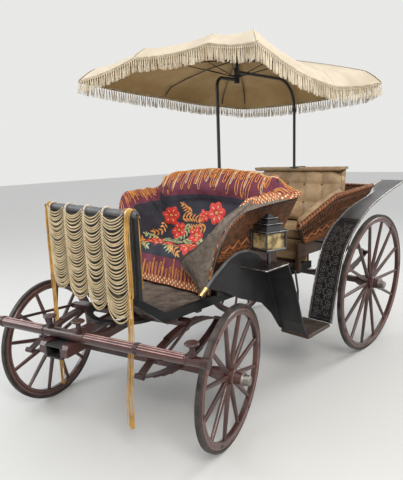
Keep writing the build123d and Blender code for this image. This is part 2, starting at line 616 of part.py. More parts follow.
# Canopy: an old umbrella on two bent posts
HUB_Y = 1120
CROWN_Z = 2370
HUB_Z0 = CROWN_Z - 180
HUB_R = 20
HUB_NECK_Z = CROWN_Z - 70    # the hub is slimmer above this
HUB_NECK_R = 10
RUNNER_Z0 = CROWN_Z - 138    # ring that carries the stretchers
RUNNER_Z1 = RUNNER_Z0 + 18
RUNNER_R = 32
POST_R = 12
FRONT_POST_Y = 895
REAR_POST_Y = REAR_Y + 555
FRONT_ARM_Z = CROWN_Z - 156
REAR_ARM_Z = CROWN_Z - 98
POST_FOOT_T = 9
POST_JOINT_Z = CROWN_Z - 355
POST_JOINT_R = 18


def bent_post(base, post_y, arm_z, radius, way):
    end = (0, HUB_Y + way * (HUB_R + SEAT), arm_z)
    line = FilletPolyline((0, post_y, base), (0, post_y, arm_z), end, radius=radius)
    return sweep(Plane(origin=(0, post_y, base), z_dir=(0, 0, 1)) * Circle(POST_R), line)


front_post = bent_post(FLOOR_Z, FRONT_POST_Y, FRONT_ARM_Z, 60, -1)
rear_post = bent_post(RAIL_Z1, REAR_POST_Y, REAR_ARM_Z, 230, 1)
rear_post += block(-30, 30, REAR_POST_Y - 28, rail_back - 13, RAIL_Z1, RAIL_Z1 + POST_FOOT_T)
rear_post += rod((0, REAR_POST_Y, POST_JOINT_Z), (0, REAR_POST_Y, POST_JOINT_Z + 30), POST_JOINT_R)
add("canopy_posts", front_post, rear_post)

# Tips of the ribs going round from the front left. The old umbrella leans back and sags to its left.
# columns: x, y, depth of the hem below the crown, how far the rib's end droops
TIPS = [(820, 286, 152, 70), (350, 441, 52, 70), (-350, 434, 21, 70), (-820, 279, 125, 70),
        (-760, 1060, 199, 60), (-790, 1842, 227, 60), (-605, 1970, 261, 140), (605, 1970, 245, 110),
        (790, 1830, 213, 55), (760, 1190, 286, 60)]
HEM_SCOOP = 0.035        # the hem curves inwards between two tips by this share of their distance
SHOULDER = 0.88          # share of a rib where its end starts to droop
RINGS = (0, 0.35, 0.65, SHOULDER, 0.95, 1)
COVER_T = 4
RIB_R = 4
RIB_DROP = 14            # middle of a rib below the cover's top
RIB_END = 0.97
RIB_BEND = 60
STRETCHER_R = 3
CAP_R = 26
CAP_T = 21
FRINGE = 104
FRINGE_T = 6


def curved(tip, share):
    """Point of the cover above a rib, which is flat in the middle and droops at its end."""
    x, y, depth, droop = tip
    past = max(0, share - SHOULDER) / (1 - SHOULDER)
    shoulder_z = CROWN_Z - depth + droop
    height = shoulder_z + (CROWN_Z - shoulder_z) * (1 - share ** 1.6) - droop * past ** 1.5
    return Vector(x * share, HUB_Y + (y - HUB_Y) * share, height)


def on_cover(tip, share, drop=0):
    """The same point on the flat facets between the rings."""
    below = max(r for r in RINGS[:-1] if r <= share)
    above = RINGS[RINGS.index(below) + 1]
    a, b = curved(tip, below), curved(tip, above)
    point = a + (b - a) * ((share - below) / (above - below))
    return point - Vector(0, 0, drop)


def valley(tip, other):
    """The hem's point midway between two tips."""
    mid = [(p + q) / 2 for p, q in zip(tip, other)]
    reach = hypot(mid[0], mid[1] - HUB_Y)
    kept = 1 - HEM_SCOOP * hypot(tip[0] - other[0], tip[1] - other[1]) / reach
    return (mid[0] * kept, HUB_Y + (mid[1] - HUB_Y) * kept, mid[2], mid[3])


def fall(tip):
    """Steepness of a rib where it leaves the hub's cap."""
    ring = curved(tip, RINGS[1])
    return (CROWN_Z - ring.Z) / hypot(ring.X, ring.Y - HUB_Y)


CAP_Z = CROWN_Z - COVER_T - SEAT - CAP_R * max(fall(tip) for tip in TIPS)
hub = rod((0, HUB_Y, HUB_Z0), (0, HUB_Y, HUB_NECK_Z), HUB_R)
hub += rod((0, HUB_Y, HUB_NECK_Z), (0, HUB_Y, CAP_Z - CAP_T), HUB_NECK_R)
hub += rod((0, HUB_Y, RUNNER_Z0), (0, HUB_Y, RUNNER_Z1), RUNNER_R)
hub += rod((0, HUB_Y, CAP_Z - CAP_T), (0, HUB_Y, CAP_Z), CAP_R)

ribs = []
stretchers = []
for tip in TIPS:
    span = hypot(tip[0], tip[1] - HUB_Y)
    foot = (CAP_R + SEAT + RIB_R * abs(fall(tip))) / span
    points = [on_cover(tip, s, RIB_DROP) for s in (foot, *RINGS[1:-1], RIB_END)]
    line = FilletPolyline(*points, radius=RIB_BEND)
    ribs.append(sweep(Plane(origin=points[0], z_dir=points[1] - points[0]) * Circle(RIB_R), line))
    end = points[1] - Vector(0, 0, RIB_R + STRETCHER_R + SEAT)
    runner_z = (RUNNER_Z0 + RUNNER_Z1) / 2
    steep = (end.Z - runner_z) / (hypot(end.X, end.Y - HUB_Y) - RUNNER_R)
    share = (RUNNER_R + SEAT + STRETCHER_R * steep) / span
    start = Vector(tip[0] * share, HUB_Y + (tip[1] - HUB_Y) * share, runner_z)
    stretchers.append(rod(start, end, STRETCHER_R))
add("canopy_frame", hub, *ribs)
add("canopy_stretchers", *stretchers)

around = [spoke for tip, other in zip(TIPS, TIPS[1:] + TIPS[:1]) for spoke in (tip, valley(tip, other))]
outer = [[curved(spoke, share) for spoke in around] for share in RINGS[1:]]
inner = [[point - Vector(0, 0, COVER_T) for point in ring] for ring in outer]
count = len(around)
faces = []
for k in range(count):
    n = (k + 1) % count
    for rings, crown in ((outer, CROWN_Z), (inner, CROWN_Z - COVER_T)):
        faces.append([(0, HUB_Y, crown), rings[0][k], rings[0][n]])
        for low, high in zip(rings, rings[1:]):
            faces.append([low[k], high[k], high[n]])
            faces.append([low[k], high[n], low[n]])
    faces.append([outer[-1][k], outer[-1][n], inner[-1][n]])
    faces.append([outer[-1][k], inner[-1][n], inner[-1][k]])
add("canopy_cover", shell_solid(faces))


def hem(grow, drop):
    points = []
    for x, y, depth, _ in around:
        wider = 1 + grow / hypot(x, y - HUB_Y)
        points.append((x * wider, HUB_Y + (y - HUB_Y) * wider, CROWN_Z - depth - drop))
    return points


loops = [hem(0, COVER_T + SEAT), hem(FRINGE_T, COVER_T + SEAT), hem(FRINGE_T, FRINGE), hem(0, FRINGE)]
faces = []
for k in range(count):
    n = (k + 1) % count
    for a, b in zip(loops, loops[1:] + loops[:1]):
        faces.append([a[k], b[k], b[n]])
        faces.append([a[k], b[n], a[n]])
add("canopy_fringe", shell_solid(faces))

for name, shape in NODES.items():
    export_step(Pos(-ORIGIN_X, -ORIGIN_Y, 0) * shape, f"parts/{name}.step")

whole = Compound([solid for shape in NODES.values() for solid in shape.solids()]).bounding_box()
print("nodes", len(NODES))
for axis in "XYZ":
    print(axis, round(getattr(whole.min, axis), 1), round(getattr(whole.max, axis), 1))
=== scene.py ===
# %% [markdown]
# # Dressing a basket phaeton
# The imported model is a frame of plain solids, each on the body that it moves with. This file gives the
# frame its looks. Hard parts keep their solids and get paint, varnish or metal. Soft parts and threads are
# built again here and stand for their solids, and wicker is woven over the plain baskets.

# %% Load the frame
import json
import math

import bpy
import numpy as np
from mathutils import Matrix, Vector


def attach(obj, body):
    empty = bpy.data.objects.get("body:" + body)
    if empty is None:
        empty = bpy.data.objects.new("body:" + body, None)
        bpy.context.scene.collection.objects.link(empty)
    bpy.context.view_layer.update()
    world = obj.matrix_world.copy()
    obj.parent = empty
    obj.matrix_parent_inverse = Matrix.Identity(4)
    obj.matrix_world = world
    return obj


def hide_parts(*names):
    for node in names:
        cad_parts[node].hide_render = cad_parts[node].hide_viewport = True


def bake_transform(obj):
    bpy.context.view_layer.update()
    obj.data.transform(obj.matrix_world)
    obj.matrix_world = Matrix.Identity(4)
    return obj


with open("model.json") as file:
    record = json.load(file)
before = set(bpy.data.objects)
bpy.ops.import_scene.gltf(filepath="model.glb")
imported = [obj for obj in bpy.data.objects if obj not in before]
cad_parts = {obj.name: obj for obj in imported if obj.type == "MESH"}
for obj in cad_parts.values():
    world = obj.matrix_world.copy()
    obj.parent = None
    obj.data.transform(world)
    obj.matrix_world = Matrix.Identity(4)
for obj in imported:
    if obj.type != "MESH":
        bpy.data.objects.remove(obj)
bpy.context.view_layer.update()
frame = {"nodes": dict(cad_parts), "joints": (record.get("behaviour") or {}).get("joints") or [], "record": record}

NODES = frame["nodes"]

# %% [markdown]
# A carriage is laid out from its king pin, the bolt that the front carriage turns on. Every place below is
# given from the floor under that pin, with x to the carriage's left and y to its back. The frame says where
# the pin stands, so one helper moves all points over.

# %% The king pin
STEERING = next(joint for joint in frame["joints"] if joint["name"] == "steering")
KING_PIN = np.array((*STEERING["pos_m"][:2], 0.0))
STEER = math.radians(15.8)  # how far the front carriage is turned to its left at rest


def from_king_pin(points):
    """Points given from the king pin, in the frame's own axes."""
    return np.asarray(points, float) + KING_PIN


print("king pin at", KING_PIN)

# %% [markdown]
# The camera stands at the picture's own viewpoint. Its place was solved from the four wheels, so it is
# written as plain numbers: a point beside the left front wheel at eye height, and three turns. Setting
# the camera's matrix from its three axes avoids guessing at the order of the turns.

# %% Camera
EYE = (2.255, -1.6252, 1.6762)
YAW, PITCH, ROLL = (math.radians(angle) for angle in (44.38, 10.70, -2.05))
FOCAL_PX, FRAME_HEIGHT_PX = 451.7, 480
SENSOR_MM = 36


def aimed(yaw, pitch, roll):
    """The camera's turn: its side, its top and the way from what it looks at, as columns."""
    look = Vector((-math.sin(yaw) * math.cos(pitch), math.cos(yaw) * math.cos(pitch), -math.sin(pitch)))
    right = look.cross(Vector((0, 0, 1))).normalized()
    up = right.cross(look)
    side = right * math.cos(roll) + up * math.sin(roll)
    top = up * math.cos(roll) - right * math.sin(roll)
    return Matrix((side, top, -look)).transposed()


camera = bpy.data.objects.new("camera", bpy.data.cameras.new("camera"))
bpy.context.scene.collection.objects.link(camera)
bpy.context.scene.camera = camera
camera.data.sensor_fit = "VERTICAL"
camera.data.sensor_height = SENSOR_MM
camera.data.lens = SENSOR_MM * (FOCAL_PX / FRAME_HEIGHT_PX)
camera.matrix_world = Matrix.Translation(from_king_pin(EYE)) @ aimed(YAW, PITCH, ROLL).to_4x4()
print("camera at", [round(v, 3) for v in camera.location])

# %% [markdown]
# A pale world makes a plain studio. It is nearly white to the camera and to what reflects or refracts it,
# while the carriage itself is lit at a plain level. Light Path tells the kinds of ray apart: two Math nodes
# keep the largest of three answers, and a Mix node swaps one background for the other.

# %% World
world = bpy.data.worlds.new("studio")
bpy.context.scene.world = world
world.use_nodes = True
world_nodes, world_links = world.node_tree.nodes, world.node_tree.links
soft_light = world_nodes["Background"]
backdrop = world_nodes.new("ShaderNodeBackground")
for background, colour, strength in ((soft_light, (0.93, 0.96, 1.0, 1), 0.42),
                                     (backdrop, (0.90, 0.90, 0.89, 1), 0.9)):
    background.inputs["Color"].default_value = colour
    background.inputs["Strength"].default_value = strength
rays = world_nodes.new("ShaderNodeLightPath")
swap = world_nodes.new("ShaderNodeMixShader")
seen = world_nodes.new("ShaderNodeMath")
shown = world_nodes.new("ShaderNodeMath")
seen.operation = shown.operation = "MAXIMUM"
world_links.new(rays.outputs["Is Camera Ray"], seen.inputs[0])
world_links.new(rays.outputs["Is Glossy Ray"], seen.inputs[1])
world_links.new(seen.outputs[0], shown.inputs[0])
world_links.new(rays.outputs["Is Transmission Ray"], shown.inputs[1])
world_links.new(shown.outputs[0], swap.inputs[0])
world_links.new(soft_light.outputs[0], swap.inputs[1])
world_links.new(backdrop.outputs[0], swap.inputs[2])
world_links.new(swap.outputs[0], world_nodes["World Output"].inputs["Surface"])
bpy.context.scene.view_settings.view_transform = "Standard"
print("world with", len(world_nodes), "nodes")

# %% [markdown]
# The floor is one large pale plane that shows its own colour and keeps the carriage's shadow. Three disk
# lamps stand round the carriage, warm in front and cool at the far side, and a very wide sun stands for
# the ceiling's light. Each lamp is turned to its aim with a track quaternion, which saves a constraint.

# %% Floor and lamps
FLOOR_GREY = 0.62
FLOOR_SIZE = 60
SKY_STRENGTH, SKY_SPREAD = 1.4, math.radians(70)
# columns: place, aim, size, watts, colour
LAMPS = {
    "key": ((4.6, -3.4, 4.8), (0.2, 0.3, 0.9), 2.6, 300, (1.0, 0.96, 0.90)),
    "fill": ((-4.2, -4.4, 3.6), (0, 0, 0.9), 3.5, 150, (0.92, 0.96, 1.0)),
    "back": ((2.6, 5.4, 4.0), (0, 0.6, 1.0), 2.4, 110, (1.0, 0.97, 0.92)),
}


def new_material(name):
    """A material with nodes, and its nodes and links."""
    material = bpy.data.materials.new(name)
    material.use_nodes = True
    return material, material.node_tree.nodes, material.node_tree.links


def new_lamp(name, kind, place):
    """A lamp of a kind, standing at a place."""
    lamp = bpy.data.lights.new(name, kind)
    holder = bpy.data.objects.new(name, lamp)
    bpy.context.scene.collection.objects.link(holder)
    holder.location = place
    return lamp, holder


floor_paint, floor_nodes, _ = new_material("pale_floor")
floor_shader = floor_nodes["Principled BSDF"]
floor_shader.inputs["Base Color"].default_value = (FLOOR_GREY, FLOOR_GREY, FLOOR_GREY * 0.98, 1)
floor_shader.inputs["Roughness"].default_value = 0.85
bpy.ops.mesh.primitive_plane_add(size=FLOOR_SIZE)
studio_floor = bpy.context.object
studio_floor.name = "studio_floor"
studio_floor.data.materials.append(floor_paint)

for name, (place, aim, size, watts, colour) in LAMPS.items():
    lamp, holder = new_lamp(name, "AREA", place)
    lamp.shape = "DISK"
    lamp.size, lamp.energy, lamp.color = size, watts, colour
    holder.rotation_euler = (Vector(aim) - Vector(place)).to_track_quat("-Z", "Y").to_euler()
sky, _ = new_lamp("sky", "SUN", (0, 0, 6))
sky.energy, sky.angle, sky.color = SKY_STRENGTH, SKY_SPREAD, (1.0, 0.99, 0.97)
print(len(LAMPS) + 1, "lamps")

# %% [markdown]
# Old paint and leather are never one flat colour. Each finish here starts from the same idea: a noise
# that runs through the object picks between a dark and a light tone, a second and finer one raises the
# surface a little, and the shader's own sockets hold what is the same all over, such as metal or coat.

# %% A weathered finish
GLOSS_SPREAD = 0.12


def weathered(name, dark, light, rough, scale=6.0, grain=60.0, height=0.0004, stretch=(1, 1, 1),
              spread=(0.35, 0.65), **sockets):
    """A finish whose colour wanders between two tones.

    Scale is the size of the patches and grain that of the bump, both as counts a metre; height is the
    bump's depth in metres. Extra sockets are set on the shader by name.
    """
    material, nodes, links = new_material(name)
    shader = nodes["Principled BSDF"]
    where = nodes.new("ShaderNodeTexCoord")
    scaled = nodes.new("ShaderNodeMapping")
    scaled.inputs["Scale"].default_value = stretch
    patches = nodes.new("ShaderNodeTexNoise")
    patches.inputs["Scale"].default_value = scale
    patches.inputs["Detail"].default_value = 6
    patches.inputs["Roughness"].default_value = 0.62
    tones = nodes.new("ShaderNodeValToRGB")
    for stop, position, tone in zip(tones.color_ramp.elements, spread, (dark, light)):
        stop.position = position
        stop.color = (*tone, 1)
    gloss = nodes.new("ShaderNodeMapRange")
    gloss.inputs["To Min"].default_value = max(rough - GLOSS_SPREAD, 0.03)
    gloss.inputs["To Max"].default_value = min(rough + GLOSS_SPREAD, 1)
    fine = nodes.new("ShaderNodeTexNoise")
    fine.inputs["Scale"].default_value = grain
    fine.inputs["Detail"].default_value = 4
    bump = nodes.new("ShaderNodeBump")
    bump.inputs["Strength"].default_value = 1
    bump.inputs["Distance"].default_value = height
    links.new(where.outputs["Object"], scaled.inputs["Vector"])
    for texture in (patches, fine):
        links.new(scaled.outputs[0], texture.inputs["Vector"])
    links.new(patches.outputs["Fac"], tones.inputs["Fac"])
    links.new(patches.outputs["Fac"], gloss.inputs["Value"])
    links.new(tones.outputs["Color"], shader.inputs["Base Color"])
    links.new(gloss.outputs["Result"], shader.inputs["Roughness"])
    links.new(fine.outputs["Fac"], bump.inputs["Height"])
    links.new(bump.outputs["Normal"], shader.inputs["Normal"])
    for socket, value in sockets.items():
        shader.inputs[socket.replace("_", " ").title().replace("Ior", "IOR")].default_value = value
    return material


print("finishes wander between two tones")

# %% [markdown]
# The gear is painted wood and iron in a dark maroon under a thin coat of varnish, the body is black, and
# the tyres, hub bands and ferrules are bare metal. Black paint on an old carriage still has a tone, so none
# of these is pure black. Brown varnish is stretched along the sills to look like grain.

# %% Paint, varnish and metal
GEAR_PAINT = weathered("gear_paint", (0.020, 0.006, 0.006), (0.062, 0.019, 0.016), 0.32, 5, 40, 0.0006,
                       coat_weight=0.4, coat_roughness=0.2)
WHEEL_PAINT = weathered("wheel_paint", (0.026, 0.010, 0.009), (0.080, 0.028, 0.022), 0.34, 7, 55, 0.0006,
                        coat_weight=0.35, coat_roughness=0.22)
RED_IRON = weathered("gear_iron_paint", (0.016, 0.006, 0.006), (0.052, 0.018, 0.015), 0.36, 8, 70, 0.0006)
BLACK_IRON = weathered("black_iron", (0.008, 0.008, 0.008), (0.028, 0.026, 0.025), 0.38, 9, 70, 0.0006)
BLACK_BODY = weathered("black_body_paint", (0.003, 0.004, 0.004), (0.011, 0.013, 0.013), 0.30, 4, 30, 0.0003,
                       specular_ior_level=0.28)
BROWN_BODY = weathered("brown_varnish", (0.018, 0.009, 0.006), (0.062, 0.030, 0.017), 0.40, 3, 24, 0.0005,
                       (6, 1, 6))
LAMP_BLACK = weathered("lamp_black", (0.006, 0.006, 0.007), (0.022, 0.022, 0.024), 0.22, 12, 90, 0.0003,
                       coat_weight=0.6, coat_roughness=0.1)
TYRE_IRON = weathered("tyre_iron", (0.016, 0.012, 0.011), (0.070, 0.058, 0.052), 0.55, 14, 90, 0.0008,
                      metallic=0.4)
HUB_SILVER = weathered("hub_silver", (0.09, 0.08, 0.072), (0.33, 0.31, 0.29), 0.42, 18, 120, 0.0003,
                       metallic=1.0)
BRASS = weathered("worn_brass", (0.42, 0.28, 0.10), (0.78, 0.58, 0.28), 0.26, 20, 120, 0.0003, metallic=1.0)
AMBER_GLASS = weathered("aged_glass", (0.085, 0.050, 0.018), (0.62, 0.48, 0.23), 0.16, 16, 80, 0.0003,
                        (1, 1, 1), (0.38, 0.60), alpha=0.85)
print("paint, varnish and metal mixed")

# %% [markdown]
# Leather has a fine grain and a soft gloss, cloth has almost no gloss and a much finer grain, and cane lies
# between them. The same recipe serves for all, because what tells them apart to the eye is the size of the
# grain, its height and the gloss, and each of these is one of the recipe's numbers.

# %% Leather, cloth and cane
BLACK_LEATHER = weathered("black_leather", (0.006, 0.006, 0.007), (0.022, 0.021, 0.022), 0.42, 5, 420,
                          0.0005, specular_ior_level=0.35)
GREY_LEATHER = weathered("grey_leather", (0.055, 0.055, 0.060), (0.130, 0.130, 0.138), 0.5, 6, 380, 0.0005)
TAN_LEATHER = weathered("tan_leather", (0.28, 0.175, 0.092), (0.53, 0.375, 0.215), 0.52, 5, 300, 0.0006)
FLOOR_MAT = weathered("worn_floor_mat", (0.045, 0.033, 0.026), (0.165, 0.130, 0.105), 0.8, 16, 220, 0.0016)
CANE = weathered("dark_cane", (0.010, 0.005, 0.003), (0.034, 0.016, 0.008), 0.5, 26, 160, 0.0006, (1, 1, 3))
CANVAS = weathered("cream_canvas", (0.52, 0.44, 0.33), (0.70, 0.62, 0.49), 0.85, 2.5, 700, 0.0008)
THREAD = weathered("fringe_thread", (0.48, 0.385, 0.25), (0.74, 0.65, 0.48), 0.8, 12, 500, 0.0005)
SLATE_CLOTH = weathered("slate_cloth", (0.017, 0.018, 0.027), (0.042, 0.044, 0.062), 0.85, 9, 700, 0.0006)
NET_CORD = weathered("net_cord", (0.50, 0.38, 0.20), (0.72, 0.58, 0.36), 0.7, 14, 400, 0.0006)
print("leather, cloth and cane ready")

# %% [markdown]
# The record gives each solid a slot, which is the kind of stuff that it is made of. One table turns slots
# into finishes, so every solid is painted by one loop. The side sills are the exception: their wood is
# painted black on the outside, so they get the body's black over their slot's brown.

# %% Finish the solids
FINISH_OF = {
    "gear_wood": GEAR_PAINT, "wheel_wood": WHEEL_PAINT, "tyre_iron": TYRE_IRON, "hub_metal": HUB_SILVER,
    "black_iron": BLACK_IRON, "maroon_iron": RED_IRON, "black_body": BLACK_BODY, "brown_body": BROWN_BODY,
    "floor_mat": FLOOR_MAT, "black_leather": BLACK_LEATHER, "grey_leather": GREY_LEATHER,
    "tan_leather": TAN_LEATHER, "wicker": CANE, "brass": BRASS, "lamp_black": LAMP_BLACK,
    "lamp_glass": AMBER_GLASS, "canopy_cloth": CANVAS, "fringe_thread": THREAD, "shawl_cloth": SLATE_CLOTH,
    "net_cord": NET_CORD,
}
for part in frame["record"]["subparts"]:
    solid = NODES[part["node"]]
    solid.data.materials.clear()
    solid.data.materials.append(FINISH_OF[part["material_slot"]])
NODES["side_sills"].data.materials[0] = BLACK_BODY
print(len(NODES), "solids finished")

# %% [markdown]
# Threads, canes, stitches and beads come in hundreds. An object for each would be slow to draw and slow
# to open, so every kind is worked out with numpy as plain arrays and gathered into one mesh. A heap
# collects batches of points and faces, and each batch may carry its own finish.

# %% A heap of small meshes
class Heap:
    """Batches of points and faces that become one piece. Points are given from the king pin."""

    def __init__(self):
        self.points, self.faces, self.marks, self.count = [], [], [], 0

    def add(self, points, faces, mark=0):
        """One batch. Mark is the number of its finish, or one number for each face."""
        points, faces = np.asarray(points, float).reshape(-1, 3), np.asarray(faces, int)
        self.points.append(points)
        self.faces.append(faces + self.count)
        self.marks.append(np.full(len(faces), mark) if np.ndim(mark) == 0 else np.asarray(mark))
        self.count += len(points)

    def piece(self, name, finishes, body="carriage"):
        """Make the object, give it its finishes and let it ride on a body."""
        mesh = bpy.data.meshes.new(name)
        corners = np.concatenate([faces.ravel() for faces in self.faces])
        sizes = np.concatenate([np.full(len(faces), faces.shape[1]) for faces in self.faces])
        mesh.vertices.add(self.count)
        mesh.vertices.foreach_set("co", from_king_pin(np.concatenate(self.points)).ravel())
        mesh.loops.add(len(corners))
        mesh.loops.foreach_set("vertex_index", corners)
        mesh.polygons.add(len(sizes))
        mesh.polygons.foreach_set("loop_start", np.concatenate(([0], np.cumsum(sizes)[:-1])))
        mesh.polygons.foreach_set("material_index", np.concatenate(self.marks))
        mesh.polygons.foreach_set("use_smooth", np.ones(len(sizes), bool))
        mesh.update(calc_edges=True)
        piece = bpy.data.objects.new(name, mesh)
        bpy.context.scene.collection.objects.link(piece)
        for finish in finishes:
            mesh.materials.append(finish)
        if body:
            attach(piece, body)
        print(name, "triangles", int((sizes - 2).sum()))
        return piece


print("heap ready")

# %% [markdown]
# Three ways of making faces cover nearly everything here. A grid of points becomes a sheet. A grid that
# is doubled a little way along its normals becomes a cloth with two sides. A path with a ring of points
# round each of its stations becomes a thread or a cane.

# %% Sheets and cloths
def unit(v):
    """Vectors made one long."""
    return v / np.maximum(np.linalg.norm(v, axis=-1, keepdims=True), 1e-12)


def grid_faces(rows, columns, closed=False):
    """Quads of a grid of points, joined round its columns when closed."""
    strips = columns if closed else columns - 1
    row, column = np.meshgrid(np.arange(rows - 1), np.arange(strips), indexing="ij")
    after = (column + 1) % columns
    here, below = row * columns, (row + 1) * columns
    return np.stack([here + column, here + after, below + after, below + column], -1).reshape(-1, 4)


def normals(grid):
    """The way that a grid faces, at each of its points."""
    return unit(np.cross(np.gradient(grid, axis=1), np.gradient(grid, axis=0)))


def border(rows, columns):
    """The points round the edge of a grid, in order."""
    index = np.arange(rows * columns).reshape(rows, columns)
    return np.concatenate([index[0, :-1], index[:-1, -1], index[-1, :0:-1], index[:0:-1, 0]])


def two_sided(grid, thickness):
    """A cloth's points and faces: the grid, its other side below it, and the edge between them."""
    rows, columns = grid.shape[:2]
    points = np.concatenate([grid.reshape(-1, 3), (grid - normals(grid) * thickness).reshape(-1, 3)])
    edge = border(rows, columns)
    after, low = np.roll(edge, -1), rows * columns
    face, under = grid_faces(rows, columns), grid_faces(rows, columns)[:, ::-1] + low
    return points, face, under, np.stack([after, edge, edge + low, after + low], -1)


def whole_cloth(grid, thickness):
    """Points and faces of a cloth with two sides that has one finish all over."""
    points, *faces = two_sided(grid, thickness)
    return points, np.concatenate(faces)


print("sheets and cloths ready")

# %% Threads and beads
def many(one, count, points_each):
    """The same faces for a number of like forms, each with so many points."""
    return (one[None] + np.arange(count)[:, None, None] * points_each).reshape(-1, one.shape[1])


def threads(paths, radius, sides=3):
    """Round threads along many paths at once. Paths are (threads, stations, 3)."""
    paths = np.asarray(paths, float)
    count, stations = paths.shape[:2]
    along = unit(np.gradient(paths, axis=1))
    mean = np.abs(unit(paths[:, -1] - paths[:, 0]))
    guide = np.where(mean[:, 2:] < 0.8, (0.0, 0.0, 1.0), (1.0, 0.0, 0.0))
    side = unit(np.cross(along, guide[:, None]))
    up = np.cross(side, along)
    turn = 2 * np.pi * np.arange(sides) / sides
    reach = np.broadcast_to(np.asarray(radius, float), (count, stations))[..., None, None]
    ring = side[:, :, None] * np.cos(turn)[:, None] + up[:, :, None] * np.sin(turn)[:, None]
    points = paths[:, :, None] + reach * ring
    one = grid_faces(stations, sides, closed=True)[:, ::-1]
    return points.reshape(-1, 3), many(one, count, stations * sides)


def beads(places, radius, sides=6, rings=4):
    """Small round beads: each place gets a ball of so many sides and rings."""
    polar = np.linspace(0, np.pi, rings + 1)
    turn = 2 * np.pi * np.arange(sides) / sides
    axis = np.stack([polar * 0, polar * 0, -np.cos(polar)], -1)
    ring = np.stack([np.cos(turn), np.sin(turn), turn * 0], -1)
    ball = axis[:, None] + np.maximum(np.sin(polar), 0.02)[:, None, None] * ring[None]
    places, radius = np.asarray(places, float), np.broadcast_to(radius, len(places))
    points = places[:, None, None] + radius[:, None, None, None] * ball[None]
    one = grid_faces(rings + 1, sides, closed=True)
    return points.reshape(-1, 3), many(one, len(places), (rings + 1) * sides)


print("threads and beads ready")

# %% [markdown]
# Cords, hems and rolls follow lines through a few stations. A Catmull-Rom curve passes through every one
# of them and needs no handles. Resampling a line at even steps keeps stitches and pinches evenly spaced.
# Nearly everything on a carriage comes in pairs, so one helper adds the other hand.

# %% Lines
def smooth_path(stations, count):
    """Points along a Catmull-Rom curve through a few stations, evenly spread over its stretches."""
    p = np.asarray(stations, float)
    p = np.concatenate([[2 * p[0] - p[1]], p, [2 * p[-1] - p[-2]]])
    where = np.linspace(0, len(stations) - 1 - 1e-9, count)
    k = where.astype(int)
    t = (where - k).reshape(-1, *[1] * (p.ndim - 1))
    a, b, c, d = p[k], p[k + 1], p[k + 2], p[k + 3]
    bend, twist = 2 * a - 5 * b + 4 * c - d, 3 * b - a - 3 * c + d
    return 0.5 * (2 * b + (c - a) * t + bend * t ** 2 + twist * t ** 3)


def travelled(line):
    """Distance along a line at each of its points."""
    return np.concatenate([[0], np.cumsum(np.linalg.norm(np.diff(line, axis=0), axis=1))])


def read_at(where, steps, values):
    """Rows of values read between steps, each column by itself."""
    return np.stack([np.interp(where, steps, values[:, a]) for a in range(values.shape[1])], -1)


def evenly(line, count):
    """The same line with its points at equal steps along it."""
    steps = travelled(line)
    return read_at(np.linspace(0, steps[-1], count), steps, line)


def both_hands(points):
    """The points and their mirror image on the other side of the carriage."""
    return np.concatenate([points, points * (-1, 1, 1)])


RANDOM = np.random.default_rng(11)
print("lines ready")

# %% [markdown]
# The canopy is an old fringed umbrella on two iron posts. Its ten ribs are not alike: it leans back, it sags
# towards its left, and each rib droops at its end. The sheet is worked out on a polar grid. Along a rib it
# follows the rib's own curve, and between two ribs it dips a little and its hem is scooped inwards, as
# cloth that is stretched between sticks does.

# %% The canopy's ribs
HUB_Y, CROWN_Z = 1.120, 2.370
# Tips of the ribs from the front left. columns: x, y, depth of the hem below the crown, droop of the end
TIPS = np.array([(0.820, 0.286, 0.152, 0.070), (0.350, 0.441, 0.052, 0.070), (-0.350, 0.434, 0.021, 0.070),
                 (-0.820, 0.279, 0.125, 0.070), (-0.760, 1.060, 0.199, 0.060), (-0.790, 1.842, 0.227, 0.060),
                 (-0.605, 1.970, 0.261, 0.140), (0.605, 1.970, 0.245, 0.110), (0.790, 1.830, 0.213, 0.055),
                 (0.760, 1.190, 0.286, 0.060)])
SHOULDER = 0.88  # share of a rib where its end begins to droop
HEM_SCOOP = 0.035
BAY_DIP = 0.020


def canopy_point(tip, share):
    """Point of the cloth above a rib; tip and share broadcast."""
    x, y, depth, droop = np.moveaxis(tip, -1, 0)
    past = np.maximum(0, share - SHOULDER) / (1 - SHOULDER)
    shoulder_z = CROWN_Z - depth + droop
    z = shoulder_z + (CROWN_Z - shoulder_z) * (1 - share ** 1.6) - droop * past ** 1.5
    return np.stack(np.broadcast_arrays(x * share, HUB_Y + (y - HUB_Y) * share, z), -1)


def hem_tips(steps):
    """Tips all round the hem, scooped inwards between ribs, with how far between and the bay's width."""
    after = np.roll(TIPS, -1, axis=0)
    t = np.arange(steps) / steps
    arch = 4 * (t * (1 - t))
    tips = TIPS[:, None] * (1 - t)[:, None] + after[:, None] * t[:, None]
    apart = np.linalg.norm(TIPS[:, :2] - after[:, :2], axis=1)[:, None]
    reach = np.hypot(tips[..., 0], tips[..., 1] - HUB_Y)
    kept = 1 - HEM_SCOOP * apart * arch[None] / reach
    tips[..., 0] *= kept
    tips[..., 1] = HUB_Y + (tips[..., 1] - HUB_Y) * kept
    between = np.broadcast_to(arch[None], reach.shape)
    return tips.reshape(-1, 4), between.reshape(-1), np.broadcast_to(apart, reach.shape).reshape(-1)


print(len(TIPS), "ribs")

# %% [markdown]
# The cloth itself is the polar grid with three small things added: a dip in each bay that grows towards the
# hem, a ruffle where the hem was sewn a little tight, and a lift over the rear post's arm. The post bends
# forward under the cloth, which lies over the arm in a soft ridge. A bell curve across it tears nothing.

# %% The canopy's cloth
BAY_STEPS = 16
CLOTH_T = 0.002
OVER_RIB = 0.0015
RUFFLE = 0.0022
# the arm of the rear post: y along it, and the height that the cloth needs above it
ARM_Y = (1.12, 1.68, 1.78, 1.86, 1.90, 1.95)
ARM_TOP = (2.296, 2.296, 2.278, 2.225, 2.140, 2.050)
RIDGE_HALF = 0.16
ARM_FROM, ARM_TO = HUB_Y + 0.05, 1.96

